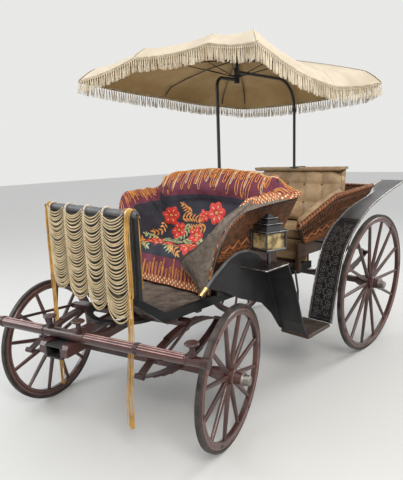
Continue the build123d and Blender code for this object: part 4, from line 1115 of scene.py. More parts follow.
def on_shawl(over, down, lift):
    """Points of the shawl: over is metres from its middle, down is metres from its back edge."""
    r = np.clip(down / SHAWL_LENGTH, 0, 1) * (SHAWL_ROWS - 1.001)
    i = r.astype(int)
    wide = WIDTHS[i] * (1 - (r - i)) + WIDTHS[i + 1] * (r - i)
    c = np.clip(0.5 - over / wide, 0, 1) * (SHAWL_COLUMNS - 1.001)
    j = c.astype(int)
    a, b = (r - i)[..., None], (c - j)[..., None]

    def blend(grid):
        """What a grid holds between its four nearest points."""
        return ((grid[i, j] * (1 - b) + grid[i, j + 1] * b) * (1 - a)
                + (grid[i + 1, j] * (1 - b) + grid[i + 1, j + 1] * b) * a)

    return blend(shawl) + blend(SHAWL_OUT) * np.broadcast_to(lift, over.shape)[..., None]


# %% [markdown]
# The cloth is slate in the middle and plum round its edge, with its reverse in undyed grey brown. These are
# real changes of cloth, so each face of the grid gets one finish. Which one is a question of how far the
# face lies in from the nearest edge, and distances along the cloth answer it wherever the cloth bends.

# %% Cloth zones
PLUM_CLOTH = weathered("plum_cloth", (0.115, 0.020, 0.040), (0.215, 0.052, 0.085), 0.85, 9, 700, 0.0006)
REVERSE_CLOTH = weathered("shawl_reverse", (0.115, 0.088, 0.070), (0.240, 0.195, 0.160), 0.9, 30, 900,
                          0.0012, (1, 3, 1))
EDGE_CLOTH = weathered("burnt_orange_cloth", (0.28, 0.060, 0.020), (0.46, 0.13, 0.045), 0.85, 20, 700,
                       0.0006)
RED_SILK = weathered("red_silk", (0.50, 0.018, 0.014), (0.85, 0.070, 0.040), 0.5, 60, 900, 0.0006)
ORANGE_SILK = weathered("orange_silk", (0.62, 0.20, 0.035), (0.88, 0.42, 0.11), 0.5, 60, 900, 0.0006)
LEAF_SILK = weathered("leaf_silk", (0.30, 0.38, 0.16), (0.60, 0.68, 0.38), 0.55, 60, 900, 0.0006)
CREAM_SILK = weathered("cream_silk", (0.66, 0.58, 0.38), (0.88, 0.82, 0.60), 0.5, 60, 900, 0.0006)
SHAWL_FINISHES = [SLATE_CLOTH, PLUM_CLOTH, REVERSE_CLOTH, EDGE_CLOTH, RED_SILK, ORANGE_SILK, LEAF_SILK,
                  CREAM_SILK]
SLATE, PLUM, REVERSE, EDGE, RED, ORANGE, LEAF, CREAM = range(len(SHAWL_FINISHES))
CHECK_W = 0.052
BORDER_W = 0.190


def near_tuck(down):
    """How far the near edge is turned under, so that its reverse shows."""
    return np.interp(down, (0.28, 0.34, 0.60, 0.80), (0, 0.014, 0.014, 0.045))


def from_edge(over, down):
    """Distance in from the nearest edge; the band along the back is half as wide again."""
    i = np.clip(down / SHAWL_LENGTH * (SHAWL_ROWS - 1), 0, SHAWL_ROWS - 1).astype(int)
    side = WIDTHS[i] / 2 - np.abs(over) - near_tuck(down) * (over > 0)
    return np.minimum(np.minimum(side, down / 1.55), SHAWL_LENGTH - down)


dress = Heap()
points, face_side, under_side, rim = two_sided(shawl, SHAWL_T)
inside = from_edge(U.reshape(-1)[face_side].mean(1), V.reshape(-1)[face_side].mean(1))
zones = np.select([inside < 0, inside < CHECK_W, inside < BORDER_W], [REVERSE, EDGE, PLUM], SLATE)
dress.add(points, face_side, zones)
dress.add(points, under_side, REVERSE)
dress.add(points, rim, REVERSE)
print("faces in each cloth", np.bincount(zones))

# %% [markdown]
# At the near front the shawl's corner is turned back on itself and shows its reverse. It is a flap between
# two lines, the fold and the free edge, with a belly between them that grows out of the fold as a turned
# cloth does. A thicker cord along the free edge stands for its rolled hem.

# %% The corner that is turned back
# columns: x y z along the fold, x y z along the free edge
TURN = [((0.598, 0.515, 1.392), (0.588, 0.500, 1.402)), ((0.572, 0.400, 1.322), (0.545, 0.310, 1.312)),
        ((0.545, 0.318, 1.245), (0.500, 0.270, 1.245)), ((0.478, 0.316, 1.130), (0.350, 0.275, 1.125)),
        ((0.440, 0.308, 1.010), (0.178, 0.300, 1.010)), ((0.414, 0.306, 0.900), (0.265, 0.318, 0.905)),
        ((0.380, 0.315, 0.792), (0.362, 0.320, 0.790))]
TURN_ROWS = 90
fold_line = smooth_path([fold for fold, _ in TURN], TURN_ROWS)
free_edge = smooth_path([edge for _, edge in TURN], TURN_ROWS)
s = np.linspace(0, 1, 40)[None, :, None]
flap = fold_line[:, None] * (1 - s) + free_edge[:, None] * s
flap_out = unit(np.cross(free_edge - fold_line + (1e-4, 0, 0), np.gradient(fold_line, axis=0)))[:, None]
flap += flap_out * (0.020 * np.sin(np.pi * np.minimum(s * 1.1, 1)) + 0.006)
flap += flap_out * 0.0025 * np.sin(np.linspace(0, 9, TURN_ROWS)[:, None, None] + s * 5)
dress.add(*whole_cloth(flap, SHAWL_T), REVERSE)
dress.add(*threads((free_edge + flap_out[:, 0] * 0.0065)[None], 0.0022, 5), REVERSE)
seat_shawl = dress.piece("seat_shawl", SHAWL_FINISHES)
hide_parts("shawl")

# %% [markdown]
# Embroidery is thread laid on cloth, so flowers, leaves and loops are thin raised patches that follow the
# cloth, and not a picture. One stamp serves them all: an outline is turned, scaled and laid at many places
# at once, with its middle a little higher than its rim, as satin stitch has.

# %% Stamps of silk
silk = Heap()


def stamp(outline, over, down, turn, size, mark, lift=0.0012):
    """Lay one patch at many places. Outline is (n, 2) about its own middle; size is its length."""
    places = (np.atleast_1d(np.asarray(v, float))[:, None] for v in (over, down, turn, size))
    over, down, turn, size = places
    loop = np.asarray(outline, float)
    ring = np.concatenate([[loop.mean(0)], loop * 0.55 + loop.mean(0) * 0.45, loop])
    x = (ring[None, :, 0] * np.cos(turn) - ring[None, :, 1] * np.sin(turn)) * size
    y = (ring[None, :, 0] * np.sin(turn) + ring[None, :, 1] * np.cos(turn)) * size
    n = len(loop)
    height = np.concatenate([[lift * 1.6], np.full(n, lift * 1.3), np.full(n, 0.0002)])
    points = on_shawl(over + x, down + y, height)
    k = np.arange(n)
    after = (k + 1) % n
    inner = np.stack([k * 0, 1 + k, 1 + after], -1)
    outer = np.stack([1 + k, 1 + n + k, 1 + n + after, 1 + after], -1)
    silk.add(points, many(inner, len(points), 2 * n + 1), mark)
    silk.add(points, many(outer, len(points), 2 * n + 1), mark)


def oval(long, wide, count=10, point=0.0):
    """Outline of a petal or leaf that starts at its own foot and reaches along +x."""
    t = np.linspace(0, 2 * np.pi, count, endpoint=False)
    x = 0.5 * long * (1 - np.cos(t))
    return np.stack([x, 0.5 * wide * np.sin(t) * (1 - point * (x / long) ** 2)], -1)


print("a stamp and an oval")

# %% A bloom and a spray
LEAF_SHAPE = oval(1, 0.34, 8, 0.5)


def bloom(over, down, size, petals, turn):
    """A plain flower: petals round a middle, with paler strokes on them."""
    turns = turn + 2 * np.pi * np.arange(petals) / petals
    far = size * 0.13
    aside, along = far * np.cos(turns), far * np.sin(turns)
    stamp(oval(0.52, 0.50, 12), over + aside, down + along, turns, size, RED, 0.0022)
    stamp(oval(0.30, 0.08, 6), over + aside * 1.6, down + along * 1.6, turns, size, CREAM, 0.0036)
    stamp(oval(0.24, 0.24, 8) - (0.12, 0), over, down, 0, size, ORANGE, 0.0042)


def spray(over, down, turn, length, leaves, size, mark):
    """A stem of paired leaves, bent a little to one side."""
    t = (np.arange(leaves) + 0.5) / leaves
    angle = turn + 0.6 * t
    x = over + length * np.cumsum(np.cos(angle)) / leaves
    y = down + length * np.cumsum(np.sin(angle)) / leaves
    for way in (-1, 1):
        stamp(LEAF_SHAPE, x, y, angle + way * 0.75, size * (1 - 0.35 * t), mark)
    stamp(LEAF_SHAPE, x[-1], y[-1], angle[-1], size, mark)


print("a bloom has petals, strokes and a middle; a spray has paired leaves")

# %% [markdown]
# The flowers are plain ones set out one by one: a few blooms, and sprays of leaves in the spaces between them.
# Places are metres along the cloth and not in the room, so the layout stays true over every fold. Most
# stems start near a bloom and point away from it, so that loose motifs read as one garland.

# %% Blooms and sprays
# columns: over, down from the back edge, size, petals
BLOOMS = [(-0.37, 0.46, 0.130, 6), (-0.27, 0.59, 0.105, 5), (0.10, 0.43, 0.120, 6), (-0.09, 0.61, 0.100, 5),
          (-0.35, 0.80, 0.105, 6), (-0.20, 0.85, 0.115, 5), (-0.03, 0.78, 0.105, 6), (0.12, 0.68, 0.105, 5),
          (0.26, 0.52, 0.115, 6), (0.10, 0.88, 0.100, 6), (0.27, 0.82, 0.105, 5), (-0.02, 0.46, 0.070, 5)]
# columns: over, down, direction in degrees, length, pairs of leaves, length of a leaf, silk
SPRAYS = [(-0.27, 0.50, -20, 0.20, 6, 0.050, ORANGE), (-0.17, 0.50, 95, 0.18, 6, 0.048, LEAF),
          (-0.44, 0.52, 80, 0.18, 5, 0.046, ORANGE), (0.03, 0.52, 150, 0.16, 5, 0.050, ORANGE),
          (0.03, 0.56, 60, 0.16, 5, 0.046, LEAF), (0.20, 0.42, 20, 0.15, 5, 0.046, ORANGE),
          (0.16, 0.55, 120, 0.13, 5, 0.044, LEAF), (-0.34, 0.66, 60, 0.16, 6, 0.048, LEAF),
          (-0.20, 0.66, 10, 0.13, 5, 0.046, LEAF), (-0.27, 0.76, 170, 0.12, 4, 0.044, ORANGE),
          (-0.12, 0.71, 150, 0.13, 5, 0.046, LEAF), (0.04, 0.70, 200, 0.12, 5, 0.046, LEAF),
          (-0.28, 0.90, 175, 0.14, 5, 0.046, ORANGE), (-0.12, 0.90, 0, 0.15, 5, 0.046, ORANGE),
          (0.04, 0.84, -30, 0.14, 5, 0.044, LEAF), (0.18, 0.76, 10, 0.14, 5, 0.046, LEAF),
          (0.18, 0.90, 20, 0.13, 5, 0.042, ORANGE), (0.33, 0.66, 90, 0.15, 5, 0.046, LEAF),
          (0.34, 0.46, 60, 0.12, 4, 0.042, ORANGE), (-0.41, 0.68, 95, 0.12, 4, 0.044, LEAF),
          (0.00, 0.92, 170, 0.11, 4, 0.040, LEAF), (-0.12, 0.44, 190, 0.13, 5, 0.044, ORANGE),
          (0.36, 0.88, 140, 0.13, 4, 0.042, ORANGE), (-0.40, 0.90, 0, 0.10, 4, 0.040, LEAF)]
for k, (over, down, size, petals) in enumerate(BLOOMS):
    bloom(over, down, size * 1.12, petals, 0.4 * k)
for over, down, turn, length, leaves, size, mark in SPRAYS:
    spray(over, down, math.radians(turn), length, leaves, size * 1.2, mark)
print(len(BLOOMS), "blooms and", len(SPRAYS), "sprays")

# %% [markdown]
# The border has tall loops of thread standing on a checked edge. Both are laid by walking along the edges:
# a walk is a list of places with the way inwards at each, so one rule for loops serves the two sides, the
# front and the back. Each loop has its own height and lean, since they are worked by eye.

# %% Walks and loops
LOOP_TURN = np.linspace(0, 2 * np.pi, 17)


def edge_walk(pitch):
    """Places all along the two sides and the front edge: over, down, and the way in from the edge."""
    down = np.arange(0.08, SHAWL_LENGTH - 0.04, pitch)
    half = np.interp(down, V[:, 0], WIDTHS) / 2
    side = [np.stack([way * half - tuck, down, np.full(len(down), np.pi if way > 0 else 0.0)], -1)
            for way, tuck in ((-1, 0), (1, near_tuck(down)))]
    over = np.arange(-WIDTHS[-1] / 2 + 0.03, WIDTHS[-1] / 2 - 0.02, pitch)
    front = np.stack([over, np.full(len(over), SHAWL_LENGTH), np.full(len(over), -np.pi / 2)], -1)
    return np.concatenate([*side, front])


def back_walk(pitch, shift=0.0):
    """Places along the back edge, in the same three columns."""
    over = np.arange(-0.54 + shift, 0.55, pitch)
    return np.stack([over, np.full(len(over), 0.030), np.full(len(over), np.pi / 2)], -1)


def from_walk(walk, inwards, aside=0.0):
    """Where a point lies that is so far in from each place of a walk, and so far to its side."""
    over, down, way = (walk[:, k:k + 1] for k in range(3))
    return (over + np.cos(way) * inwards - np.sin(way) * aside,
            down + np.sin(way) * inwards + np.cos(way) * aside)


def loops(walk, start, length, width, thick, mark=ORANGE):
    """Tall loops of thread that stand on the border, each at its own height and lean."""
    tall = length * RANDOM.uniform(0.62, 1.15, len(walk))[:, None]
    reach = start + 0.5 * tall * (1 - np.cos(LOOP_TURN))[None]
    grown = (reach - start) / tall
    aside = width * np.sin(LOOP_TURN)[None] * (0.4 + 0.8 * grown ** 2)
    aside += RANDOM.uniform(-0.05, 0.15, len(walk))[:, None] * (reach - start)
    x, y = from_walk(walk, reach, aside)
    silk.add(*threads(on_shawl(x, y, 0.0018), thick, 4), mark)


loops(edge_walk(0.033), CHECK_W, 0.088, 0.0095, 0.0024)
loops(edge_walk(0.099), CHECK_W + 0.03, 0.100, 0.0060, 0.0020)
loops(back_walk(0.056), 0.045, 0.190, 0.0150, 0.0032)
loops(back_walk(0.056, 0.028), 0.020, 0.120, 0.0105, 0.0030)
loops(back_walk(0.112, 0.014), 0.060, 0.150, 0.0080, 0.0022, CREAM)
print("loops on", len(edge_walk(0.033)) + len(back_walk(0.056)), "places")

# %% [markdown]
# The checked edge is three rows of small cream stitches, every other place left out and each row shifted by
# one, with threads across the band between them. Three waved lines run along the back, where the band is
# wider. Then the embroidery is made into its piece.

# %% Checked edge and waved lines
wave = np.linspace(-0.56, 0.56, 260)
for k, depth in enumerate((0.022, 0.050, 0.078)):
    y = depth + 0.011 * np.sin(wave * (95 - 12 * k) + 2 * np.sin(wave * 11 + k))
    silk.add(*threads(on_shawl(wave, y, 0.0020)[None], 0.0034, 4), ORANGE if k < 2 else CREAM)
walk = edge_walk(0.0200)
for k, depth in enumerate((0.008, 0.024, 0.040)):
    places = walk[(np.arange(len(walk)) + k) % 2 == 0]
    x, y = from_walk(places, depth)
    stamp(oval(0.017, 0.012, 6) - (0.0085, 0), x[:, 0], y[:, 0], places[:, 2], 1.15, CREAM)
x, y = from_walk(walk[::2], np.linspace(0.002, CHECK_W - 0.004, 5)[None])
silk.add(*threads(on_shawl(x, y, 0.0012), 0.0019, 4), ORANGE)
embroidery = silk.piece("shawl_embroidery", SHAWL_FINISHES)

# %% [markdown]
# Each seat stands in a basket. The frame has its sides and backs as plain plates, and the canes are woven
# over them here: outside on both baskets, and inside on the rear one, because the front one's inside lies
# under the shawl. Every cane is a thread that is laid on a leaning side, so one helper finds any point of
# that side from how far along and how far up it is.

# %% Where a basket's side is
ORANGE_CANE = weathered("orange_cane", (0.22, 0.060, 0.014), (0.42, 0.145, 0.038), 0.45, 30, 200, 0.0005)
BROWN_CANE = weathered("brown_cane", (0.055, 0.021, 0.009), (0.175, 0.070, 0.028), 0.42, 26, 200, 0.0006)
CANE_FINISHES = [CANE, BROWN_CANE, ORANGE_CANE]
DARK_WEAVE, BROWN_WEAVE, ORANGE_WEAVE = range(len(CANE_FINISHES))
LEAN = math.radians(23)
FOOT_HALF = 0.445  # half the width over both sides at the foot
PLATE_HALF = 0.011
# rows: foot y from and to, height of the foot, then y and z along the top line
SIDES = {
    "front": ((0.345, 0.960, 1.030), [(0.345, 1.235), (0.480, 1.372), (1.030, 1.400)]),
    "rear": ((1.345, 2.060, 0.987), [(1.175, 1.135), (1.580, 1.330), (2.190, 1.366)]),
}
WOVEN_FACES = {"front": (1,), "rear": (1, -1)}


def side_point(seat, along, rise, lift=0.0):
    """A point on a basket's near side: along it 0 to 1, up it 0 to 1, and out of its middle."""
    (y0, y1, z0), top = SIDES[seat]
    line = np.array(top)
    steps = travelled(line)
    where = np.asarray(along) * steps[-1]
    top_y, top_z = np.interp(where, steps, line[:, 0]), np.interp(where, steps, line[:, 1])
    foot_y = y0 + (y1 - y0) * np.asarray(along)
    up = (top_z - z0) * rise
    x = FOOT_HALF + up * math.tan(LEAN) + (lift - PLATE_HALF) * math.cos(LEAN)
    y = foot_y + (top_y - foot_y) * rise
    return np.stack(np.broadcast_arrays(x, y, z0 + up - lift * math.sin(LEAN)), -1)


print("baskets lean out by", round(math.degrees(LEAN)), "degrees")

# %% [markdown]
# Upright canes run from the foot to the rim and thin weavers cross them, in front of one upright and behind
# the next. That is a cosine along the weaver with half a turn to each upright, and the next weaver has it
# the other way round. The foot has a close weave in two colours, a zigzag of orange cane runs above it, and
# three canes twisted together make the rim.

# %% Basket sides
FOOT_WEAVERS = 9
WEAVERS = [*np.linspace(0.02, 0.20, FOOT_WEAVERS), 0.40, 0.415, 0.64, 0.655, 0.88, 0.895]
ZIGZAG = ((0.23, 0.34), (0.25, 0.36), (0.27, 0.38))
UPRIGHTS = 38
UPRIGHT_R, WEAVER_R = 0.0048, 0.0026
BRAID_R, CORNER_R = 0.0068, 0.0120


def weaver_finish(k):
    """Two of three weavers are orange in the close weave at the foot, and the others are brown."""
    return ORANGE_WEAVE if k < FOOT_WEAVERS and k % 3 else BROWN_WEAVE


def zigzag(low, high, turns):
    """Height of a zigzag that goes from high to low and back in every two turns."""
    return low + (high - low) * np.abs(turns % 2 - 1)


def braid(line, twist, sway):
    """Three canes twisted round a line; sway is how far they go out along x, y and z."""
    phase = twist + np.arange(3)[:, None] * 2 * np.pi / 3
    return line + np.stack([np.cos(phase), np.cos(phase), np.sin(phase)], -1) * sway


for seat in SIDES:
    weave = Heap()
    up = np.linspace(0, 1, 9)
    for face in WOVEN_FACES[seat]:
        along = np.linspace(0.015, 0.985, UPRIGHTS)[:, None]
        bow = face * (0.0125 + 0.0010 * np.sin(up * 31)[None])
        canes = side_point(seat, along, up[None] * 0.985, bow)
        weave.add(*threads(both_hands(canes), UPRIGHT_R, 5), BROWN_WEAVE)
        across = np.linspace(0.004, 0.996, 149)[None]
        for k, rise in enumerate(WEAVERS):
            sway = face * (0.0150 + 0.0042 * np.cos(across * (UPRIGHTS - 1) * np.pi + np.pi * k))
            line = side_point(seat, across, rise, sway)
            weave.add(*threads(both_hands(line), WEAVER_R, 4), weaver_finish(k))
        for low, high in ZIGZAG:
            line = side_point(seat, across, zigzag(low, high, across * 16), face * 0.0180)
            weave.add(*threads(both_hands(line), 0.0036, 4), ORANGE_WEAVE)
    turns = np.linspace(0, 1, 420)
    rim = side_point(seat, turns, 1.0)
    if seat == "front":
        # the braid is pressed down where the shawl lies over the rim's corner
        rim[:, 2] -= 0.018 * np.exp(-((rim[:, 1] - 0.480) / 0.090) ** 2)
    for k, cane in enumerate(braid(rim, turns * 2 * np.pi * 34, (0.0125, 0, 0.0125))):
        weave.add(*threads(both_hands(cane[None]), BRAID_R, 5), ORANGE_WEAVE if k else DARK_WEAVE)
    foot = side_point(seat, turns, 0.0, 0.013)
    weave.add(*threads(both_hands(foot[None, ::6]), 0.0055, 6), BROWN_WEAVE)
    corner_posts = np.stack([side_point(seat, np.full(30, end), np.linspace(0, 1, 30)) for end in (0, 1)])
    weave.add(*threads(both_hands(corner_posts), CORNER_R, 8), DARK_WEAVE)
    weave.piece(seat + "_basket_weave", CANE_FINISHES)

# %% [markdown]
# The backs are woven by the same rules on a surface that leans backwards and widens upwards. The front
# one has an arched top, and the rear one's is nearly level. Above the rear squab the inside of the back
# shows as well, so that part gets a second set of weavers.

# %% Basket backs
# columns: y of the outer face at foot and top, foot z, side z, arch, half width at the foot
BACKS = {
    "front": (0.827, 0.887, 1.030, 1.400, 0.140, 0.415),
    "rear": (2.067, 2.187, 0.987, 1.364, 0.008, 0.415),
}
BACK_UPRIGHTS = 50


def back_point(seat, across, rise, lift=0.0):
    """A point on a basket's back: across it -1 to 1, up it 0 to 1, and out of its outer face."""
    y0, y1, z0, z_side, arch, half = BACKS[seat]
    x = across * (half + (z_side - z0) * math.tan(LEAN) * rise)
    z = z0 + (z_side + arch * (1 - across ** 2) - z0) * rise
    return np.stack(np.broadcast_arrays(x, y0 + (y1 - y0) * rise + lift, z), -1)


for seat in BACKS:
    weave = Heap()
    across = np.linspace(-0.98, 0.98, BACK_UPRIGHTS)[:, None]
    weave.add(*threads(back_point(seat, across, np.linspace(0, 0.985, 9)[None]), UPRIGHT_R, 5), BROWN_WEAVE)
    wide = np.linspace(-0.99, 0.99, 173)[None]
    round_uprights = wide * (BACK_UPRIGHTS - 1) / 2 * np.pi
    for k, rise in enumerate(WEAVERS):
        line = back_point(seat, wide, rise, 0.0030 + 0.0040 * np.cos(round_uprights + np.pi * k))
        weave.add(*threads(line, WEAVER_R, 4), weaver_finish(k))
    for low, high in ZIGZAG:
        line = back_point(seat, wide, zigzag(low, high, wide * 10), 0.0060)
        weave.add(*threads(line, 0.0030, 4), ORANGE_WEAVE)
    turns = np.linspace(-0.985, 0.985, 380)
    rim = back_point(seat, turns, 1.0, -0.011)
    for k, cane in enumerate(braid(rim, turns * 2 * np.pi * 17, (0, 0.0120, 0.0085))):
        weave.add(*threads(cane[None], 0.0060, 5), ORANGE_WEAVE if k else DARK_WEAVE)
    if seat == "rear":
        for k, rise in enumerate(np.linspace(0.62, 0.96, 16)):
            line = back_point(seat, wide, rise, -0.0250 + 0.0030 * np.cos(round_uprights + np.pi * k))
            weave.add(*threads(line, 0.0034, 4), ORANGE_WEAVE)
    weave.piece(seat + "_basket_back", CANE_FINISHES)

# %% [markdown]
# The dash rail and the front wings carry padded rolls. A stuffed roll isn't a straight tube: the stuffing
# bunches between the stitches that hold it down, so the tube swells and narrows a little along its path,
# and a cord runs along its seam.

# %% Padded rolls
TUBE_STEPS, TUBE_SIDES = 160, 20


def padded_roll(heap, path, radius, pitch, seam_turn):
    """A stuffed tube along a path, pinched at even steps, with domed ends and a corded seam."""
    line = evenly(smooth_path(path, 400), TUBE_STEPS)
    s = np.linspace(0, 1, TUBE_STEPS)
    pinch = np.abs(np.cos(np.pi * s * round(travelled(line)[-1] / pitch))) ** 12
    swell = radius * (1 - 0.10 * pinch + 0.015 * np.sin(s * 47) + 0.012 * np.sin(s * 91 + 1))
    swell *= np.sqrt(1 - np.clip((np.abs(2 * s - 1) - 0.985) / 0.015, 0, 0.97) ** 2)
    along = unit(np.gradient(line, axis=0))
    aside = unit(np.cross(along, (0, 0, 1)) + np.cross(along, (0, 1, 0)) * 1e-3)
    over = np.cross(aside, along)
    turn = np.linspace(0, 2 * np.pi, TUBE_SIDES, endpoint=False)
    ring = aside[:, None] * np.cos(turn)[None, :, None] + over[:, None] * np.sin(turn)[None, :, None]
    tube = line[:, None] + ring * swell[:, None, None]
    heap.add(tube, grid_faces(TUBE_STEPS, TUBE_SIDES, closed=True)[:, ::-1])
    seam_way = aside * math.cos(seam_turn) + over * math.sin(seam_turn)
    seam = line + seam_way * (swell + 0.0008)[:, None]
    heap.add(*threads(seam[None, 4:-4], 0.0018, 5), 1)


dash_roll = Heap()
padded_roll(dash_roll, [(x, -0.240, 1.390) for x in np.linspace(-0.452, 0.452, 9)], 0.0218, 0.11, 3.9)
dash_rail = dash_roll.piece("dash_padded_rail", [GREY_LEATHER, BLACK_LEATHER])
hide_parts("dash_rail")

# columns: y, z
ROLL_PATH = [(0.212, 0.903), (0.300, 0.965), (0.410, 1.030), (0.505, 1.060), (0.600, 1.056), (0.690, 1.024),
             (0.750, 0.980)]
wing_roll = Heap()
for side in (-1, 1):
    padded_roll(wing_roll, [(side * 0.482, y, z) for y, z in ROLL_PATH], 0.0118, 0.075, -0.6)
wing_rolls = wing_roll.piece("wing_padded_rolls", [GREY_LEATHER, BLACK_LEATHER])
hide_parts("wing_rolls")

# %% [markdown]
# The wings are leather over iron. Their edges have plated beading, the lower part of each rear wing is
# tooled with scrolls between two lines, and the tail of it is smooth. All of these follow the wing's top,
# so a helper turns a share along it and a share across it into a point, and both wings use the same ones.

# %% The top of a rear wing
BEADING = weathered("plated_beading", (0.20, 0.19, 0.18), (0.52, 0.50, 0.48), 0.34, 30, 160, 0.0002,
                    metallic=1.0)
# a lighter grey than the black leather: on the wings a painted highlight on the raised tooling, on the dash the
# grey of the stitches
TOOLING_HIGHLIGHT_AND_STITCH = weathered("tooling_highlight_and_dash_stitch", (0.060, 0.055, 0.052), (0.20, 0.185, 0.175), 0.42, 60, 300, 0.0004)
# the wing's tail is painted a lighter grey that stands for the sheen on its leather
WING_TAIL_SHEEN = weathered("wing_tail_painted_sheen", (0.055, 0.055, 0.057), (0.150, 0.150, 0.155), 0.42, 3, 60, 0.0003,
                       (1, 0.3, 1))
TRIM_FINISHES = [BEADING, TOOLING_HIGHLIGHT_AND_STITCH, WING_TAIL_SHEEN, BLACK_LEATHER]
PLATED, TOOLING_HIGHLIGHT, PAINTED_SHEEN, LEATHER = range(len(TRIM_FINISHES))
WING_STEPS = 300
WING_OUTER_X = 0.720
SKIN = 0.0045
# y and x of the wing's inner edge in plan
PLAN_Y = (1.200, 1.640, 2.080, 2.230, 2.420, 2.612)
PLAN_X = (0.520, 0.520, 0.592, 0.592, 0.502, 0.500)
wing_curve = smooth_path([(0, 1.290, 0.416), (0, 1.345, 0.600), (0, 1.462, 0.905), (0, 1.590, 1.042),
                          (0, 1.725, 1.132), (0, 1.880, 1.212), (0, 2.150, 1.290), (0, 2.612, 1.384)], 400)
wing_line = evenly(wing_curve, WING_STEPS)
wing_up = unit(np.cross((1, 0, 0), np.gradient(wing_line, axis=0)))
wing_up *= np.sign(wing_up[WING_STEPS // 2, 2])


def on_wing(share, across):
    """A point on a rear wing's top: share 0 to 1 along it, across 0 at the inner edge, 1 at the outer."""
    at, stations = np.asarray(share) * (WING_STEPS - 1), np.arange(WING_STEPS)
    line = read_at(at, stations, wing_line) + read_at(at, stations, wing_up) * SKIN
    inner = np.interp(read_at(at, stations, wing_line)[..., 1], PLAN_Y, PLAN_X)
    x = inner + (WING_OUTER_X - inner) * across
    return line + np.stack([x, x * 0, x * 0], -1)


print("wing top", round(float(travelled(wing_line)[-1]), 2), "m long")

# %% [markdown]
# Tooling stands up from leather, so the scrolls are raised lines and not a drawing; they are painted a lighter
# grey than the black leather, a painted highlight on their raised edges. They are spirals of a plain kind,
# turned in pairs along a waving stem. The tail of the wing is a thin sheet just over the solid, painted a
# lighter grey that stands for the sheen on its leather. The front wing gets beading round its shelf and
# leather down its fall.

# %% Beading and tooled lines
BEAD_R, TOOLING_R = 0.0042, 0.0021
trim = Heap()
s = np.linspace(0.004, 0.996, 140)
for across in (0.012, 0.988):
    trim.add(*threads(both_hands(on_wing(s, across)[None]), BEAD_R, 6), PLATED)
for across in (0.075, 0.925):
    trim.add(*threads(both_hands(on_wing(s, across)[None]), 0.0022, 6), TOOLING_HIGHLIGHT)
for share in (0.470, 0.481, 0.012, 0.990):
    seam = on_wing(np.full(24, share), np.linspace(0.02, 0.98, 24))
    trim.add(*threads(both_hands(seam[None]), 0.0028, 6), PLATED)
print("edges and seams of the wings")

# %% Scrolls between the lines
# the scrolls and stems are in the lighter grey that paints a highlight on raised tooling
SCROLL_PITCH = 0.0235
scroll_shares = np.arange(0.030, 0.440, SCROLL_PITCH)
for k, share in enumerate(scroll_shares):
    way = 1 if k % 2 else -1
    for side in (-1, 1):
        t = np.linspace(0, 1, 32)
        turn = side * way * (0.4 + 9.0 * t)
        size = 0.5 * (1 - 0.86 * t)
        along = share + SCROLL_PITCH * 0.95 * (size * np.sin(turn) + 0.25 * side)
        across = 0.5 + side * 0.215 + 0.30 * size * np.cos(turn)
        scroll = on_wing(along, across.clip(0.09, 0.91))
        trim.add(*threads(both_hands(scroll[None]), TOOLING_R, 4), TOOLING_HIGHLIGHT)
    t = np.linspace(0, 1, 30)
    stem = on_wing(share + SCROLL_PITCH * t, 0.5 + 0.06 * way * np.sin(np.pi * 2 * t))
    trim.add(*threads(both_hands(stem[None]), TOOLING_R, 4), TOOLING_HIGHLIGHT)
print(len(scroll_shares), "pairs of scrolls on each wing")

# %% The smooth tail and the front wing
# the tail sheet's lighter grey is a painted sheen
TAIL_ROWS, TAIL_COLUMNS = 90, 12
tail = on_wing(np.linspace(0.488, 0.990, TAIL_ROWS)[:, None] + np.zeros(TAIL_COLUMNS),
               np.linspace(0.03, 0.97, TAIL_COLUMNS))
tail_up = wing_up[np.linspace(146, 296, TAIL_ROWS).astype(int)]
tail += tail_up[:, None] * (0, 1, 1) * 0.0005
for side in (-1, 1):
    trim.add(tail * (side, 1, 1), grid_faces(TAIL_ROWS, TAIL_COLUMNS)[:, ::side], PAINTED_SHEEN)

shelf = np.array([(0.500, 0.512, 0.976), (0.700, 0.512, 0.976), (0.700, 0.741, 0.976)])
corners = np.concatenate([np.linspace(shelf[0], shelf[1], 20), np.linspace(shelf[1], shelf[2], 20)[1:]])
trim.add(*threads(both_hands(corners[None]), BEAD_R, 6), PLATED)
# columns: y, z down the front wing's fall
FALL = [(0.741, 0.972), (0.800, 0.860), (0.860, 0.710), (0.924, 0.520), (0.985, 0.419)]
for x in (0.503, 0.697):
    edge = smooth_path([(x, y - 0.004, z) for y, z in FALL], 80)
    trim.add(*threads(both_hands(edge[None]), 0.0038, 6), LEATHER)
trim.piece("wing_trim", TRIM_FINISHES)

# %% [markdown]
# The dash is leather sewn over a frame, with two rows of stitches round it on both its faces. Each step
# has a row of worn bars in a rim, which lie on its solid, and the floor's mat has a bound edge at each
# side. All are straight threads, so they share one heap.

# %% Stitches on the dash
STEP_WORN = weathered("worn_step", (0.030, 0.022, 0.018), (0.115, 0.092, 0.078), 0.55, 14, 120, 0.0012)
MAT_EDGE = weathered("mat_edge", (0.20, 0.055, 0.018), (0.36, 0.12, 0.04), 0.7, 30, 300, 0.0006)
DASH_FACES = (-0.2485, -0.2315)
DASH_HALF, DASH_FOOT, DASH_STITCHED_TO = 0.445, 0.940, 1.360
STITCH_PITCH = 0.012


def round_a_rectangle(across, up):
    """The corners of a rectangle in order, with the first one again at the end."""
    (a0, a1), (b0, b1) = across, up
    return [(a0, b0), (a1, b0), (a1, b1), (a0, b1), (a0, b0)]


fittings = Heap()
for face in DASH_FACES:
    for inset in (0.030, 0.044):
        half = DASH_HALF - inset
        corners = round_a_rectangle((-half, half), (DASH_FOOT + inset, DASH_STITCHED_TO))
        for (xa, za), (xb, zb) in zip(corners, corners[1:]):
            count = int(max(abs(xa - xb), abs(za - zb)) / STITCH_PITCH)
            start = np.linspace((xa, face, za), (xb, face, zb), count, endpoint=False)
            step = np.array((xb - xa, 0, zb - za)) / count * 0.6
            fittings.add(*threads(np.stack([start, start + step], 1), 0.0012, 4), 0)
print("dash stitched")

